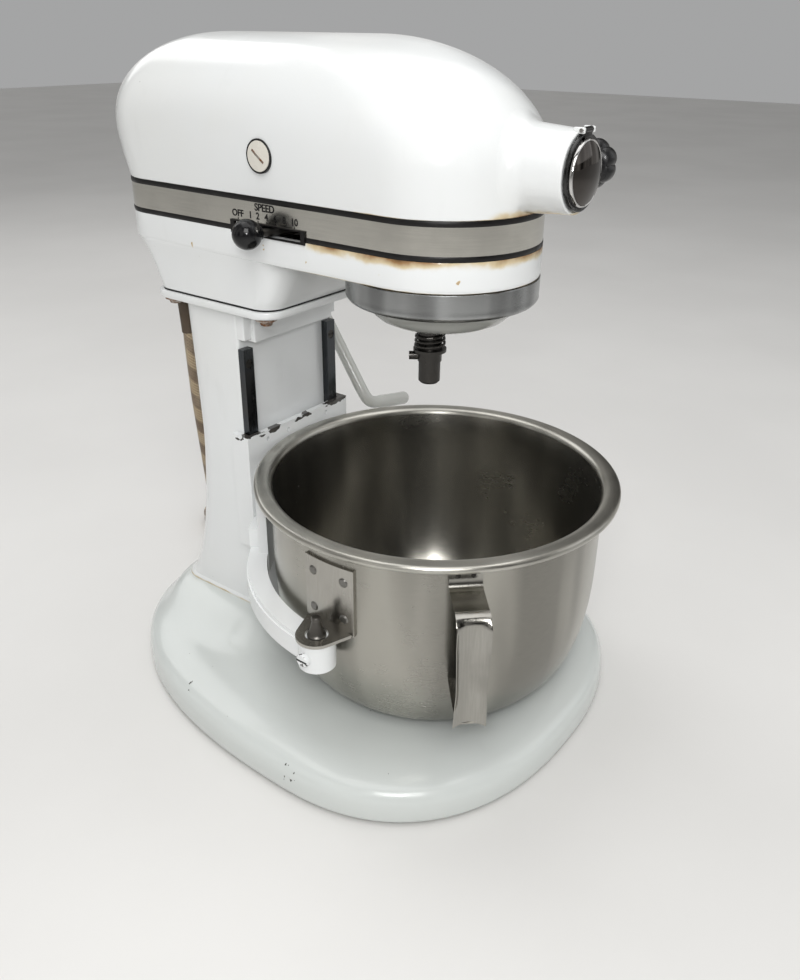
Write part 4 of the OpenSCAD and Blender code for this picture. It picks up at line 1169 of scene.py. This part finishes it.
def make_pins():
    """Tapered pins that the bowl's tabs drop over, and the slotted screws that hold them."""
    profile = [(3.2, 94), (3.2, SEAT_Z), (5.6, SEAT_Z), (5.6, SEAT_Z + 1.9), (4.9, SEAT_Z + 2.4),
               (4.3, SEAT_Z + 4), (2.3, 119.8), (2.8, 120.3), (2.8, 121.8), (2.3, 122.5), (0.001, 122.5)]
    pins, screws = [], []
    for s in (-1, 1):
        pins.append(lathe("pin", profile, PIN_STEEL, (s * PIN_X, 0, 0), sides=40))
        head = [(3, s * 126), (4.3, s * 126), (4.3, s * 131.3), (3.7, s * 132.2), (0.001, s * 132.3)]
        screws.append(lathe("screw", head, SCREW_PAINT, (0, 0, 99), "x", 40))
        screws.append(block("slot", (s * 132.1 - 0.3, -3.8, 98.4), (0.6, 7.6, 1.2), BLACK_PAINT, 0.1))
    piece(merge("taper_pins", pins), "yoke", "dark_steel", "yoke_pins")
    piece(merge("pin_screws", screws), "yoke", "steel", "yoke_set_screws")


# ---- lift lever


def make_lever():
    """Bent rod: it drops from the shaft, turns outwards and ends in a rounded grip."""
    pivot = (60, 150, 240)
    route = [pivot, (60, 139, 223.7), (60, 128, 207.5), (60, 117, 191.3), (60, 109.6, 180.5),
             (61.3, 105.6, 174.2), (66, 104.2, 170.4), (76, 104, 167.8), (88, 104, 165.2), (104, 104, 162)]
    path = smooth_path([at(*p) for p in route], 1.5 * MM)

    def radius(t):
        grip = ease((t - 0.70) / 0.06)
        end = math.sqrt(max(0.0, 1 - max(0.0, (t - 0.965) / 0.035) ** 2))
        return (4.4 + 0.6 * grip) * end * MM + 0.00001

    tip = path[-1] + (path[-1] - path[-2]).normalized() * 4.6 * MM
    rod = tube("rod", path + [path[-1].lerp(tip, k / 5) for k in range(1, 6)], radius, LEVER_PAINT, 24)
    hub_profile = [(7, -12), (9.2, -12), (10, -11.2), (10, 5), (9, 6), (0.001, 6.2)]
    hub = lathe("hub", hub_profile, LEVER_PAINT, pivot, "x", 48)
    piece(merge("lift_handle", [rod, hub]), "lift_lever", "white_enamel", "lift_rod", "lift_grip")


# ---- finishes of the carried-over CAD nodes

NODE_FINISH = (
    (STEEL, "column_bolts", "brush_springs", "motor_bearings", "ring_gear", "hub_hinge_pin", "knob_screw",
     "armature_shaft", "drive_shaft", "drive_pinion", "centre_shaft", "centre_gear", "planet_pinion",
     "attachment_shaft", "attachment_gear", "speed_slider", "lift_shaft"),
    (DARK_STEEL, "rail_screws", "motor_field", "armature_core", "cooling_fan", "beater_shaft", "shaft_pin",
     "shaft_spring", "shaft_washer", "speed_rod"),
    (BRASS, "brush_tubes", "commutator", "worm_wheel"), (RUSTY, "flange_screws", "flange_washers"),
    (RAIL_STEEL, "slide_rails"), (BLACK_PAINT, "slot_plate"), (CARBON, "carbon_brushes"),
    (RUBBER, "rubber_feet"), (OLD_RUBBER, "strain_relief"), (YOKE_PAINT, "yoke"),
    (PLATE_STEEL, "bowl_brackets"), (RIVET_STEEL, "bowl_rivets"),
)
NODE_BEVEL = {"yoke": 1.6, "slide_rails": 0.5, "bowl_brackets": 0.45, "slot_plate": 0.2,
              "shaft_washer": 0.3, "flange_washers": 0.3}


def finish_nodes():
    """Gives the CAD nodes that are shown as they are their material, and some of them rounded edges."""
    for material, *names in NODE_FINISH:
        for node in (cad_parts[name] for name in names):
            if not node.data.materials:
                node.data.materials.append(material)
            for k in range(len(node.data.materials)):
                node.data.materials[k] = material
    for name, width in NODE_BEVEL.items():
        bevel(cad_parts[name], width, 3 if name == "yoke" else 2, 32)


make_head()
make_case()
make_band()
make_scale()
make_brush_caps()
make_hub_cover()
make_knob()
make_ring()
make_speed_ball()
make_base()
make_column()
make_bowl()
make_bowl_handle()
make_pins()
make_lever()
finish_nodes()

# ---- floor and light


def make_floor():
    f = Finish("floor", (0.80, 0.79, 0.77), 0.55)
    tone = f.span(f.noise(3, 5), 0.3, 0.7)
    f.colour(f.mix(tone, (0.80, 0.79, 0.77), (0.76, 0.75, 0.73)))
    f.bump(f.noise(60, 4), 0.0004, 0.2)
    size = 6
    points = [(-size, -size, 0), (size, -size, 0), (size, size, 0), (-size, size, 0)]
    solid("floor", points, [(0, 1, 2, 3)], f.material)


def area_light(name, place, target, size, power, colour=(1, 1, 1)):
    data = bpy.data.lights.new(name, "AREA")
    data.energy = power
    data.color = colour
    data.size = size
    light = bpy.data.objects.new(name, data)
    light.location = place
    light.rotation_mode = "QUATERNION"
    light.rotation_quaternion = (Vector(target) - Vector(place)).to_track_quat("-Z", "Y")
    show(light)


def make_world():
    """Pale surroundings; what shiny parts reflect has dark and light bays, as a room with windows has."""
    world = bpy.data.worlds.new("studio")
    bpy.context.scene.world = world
    world.use_nodes = True
    world.node_tree.nodes.clear()
    w = Nodes(world.node_tree, "Generated")
    dark, light = (0.42, (0.030, 0.029, 0.026)), (0.62, (0.95, 0.93, 0.90))
    bays = w.ramp(w.noise(2.6, 2, w.stretched(1, 1, 0.18)), dark, light)
    shades = [w.add("ShaderNodeBackground", {"Color": colour, "Strength": strength}).outputs[0]
              for colour, strength in (((0.93, 0.935, 0.94), 0.40), (bays, 0.62))]
    reflected = w.add("ShaderNodeLightPath").outputs["Is Glossy Ray"]
    mixed = w.add("ShaderNodeMixShader", {0: reflected, 1: shades[0], 2: shades[1]})
    w.add("ShaderNodeOutputWorld", {0: mixed.outputs[0]})


make_floor()
make_world()
area_light("key", (-0.95, -0.75, 1.35), (0, 0.02, 0.33), 0.8, 10.5, (1.0, 0.995, 0.98))
area_light("top", (0.1, 0.1, 1.7), (0, 0, 0), 1.5, 10)
area_light("fill", (1.2, -1.3, 1.0), (0, 0, 0.2), 1.2, 3.0, (0.96, 0.98, 1.0))
area_light("back", (0.3, 1.5, 1.3), (0, 0, 0.25), 1.0, 5)
area_light("lamp", tuple(CAMERA_AT + Vector((-0.05, -0.02, 0.09))), (0, -0.05, 0.35), 0.09, 0.9)
bpy.context.scene.view_settings.view_transform = "Standard"
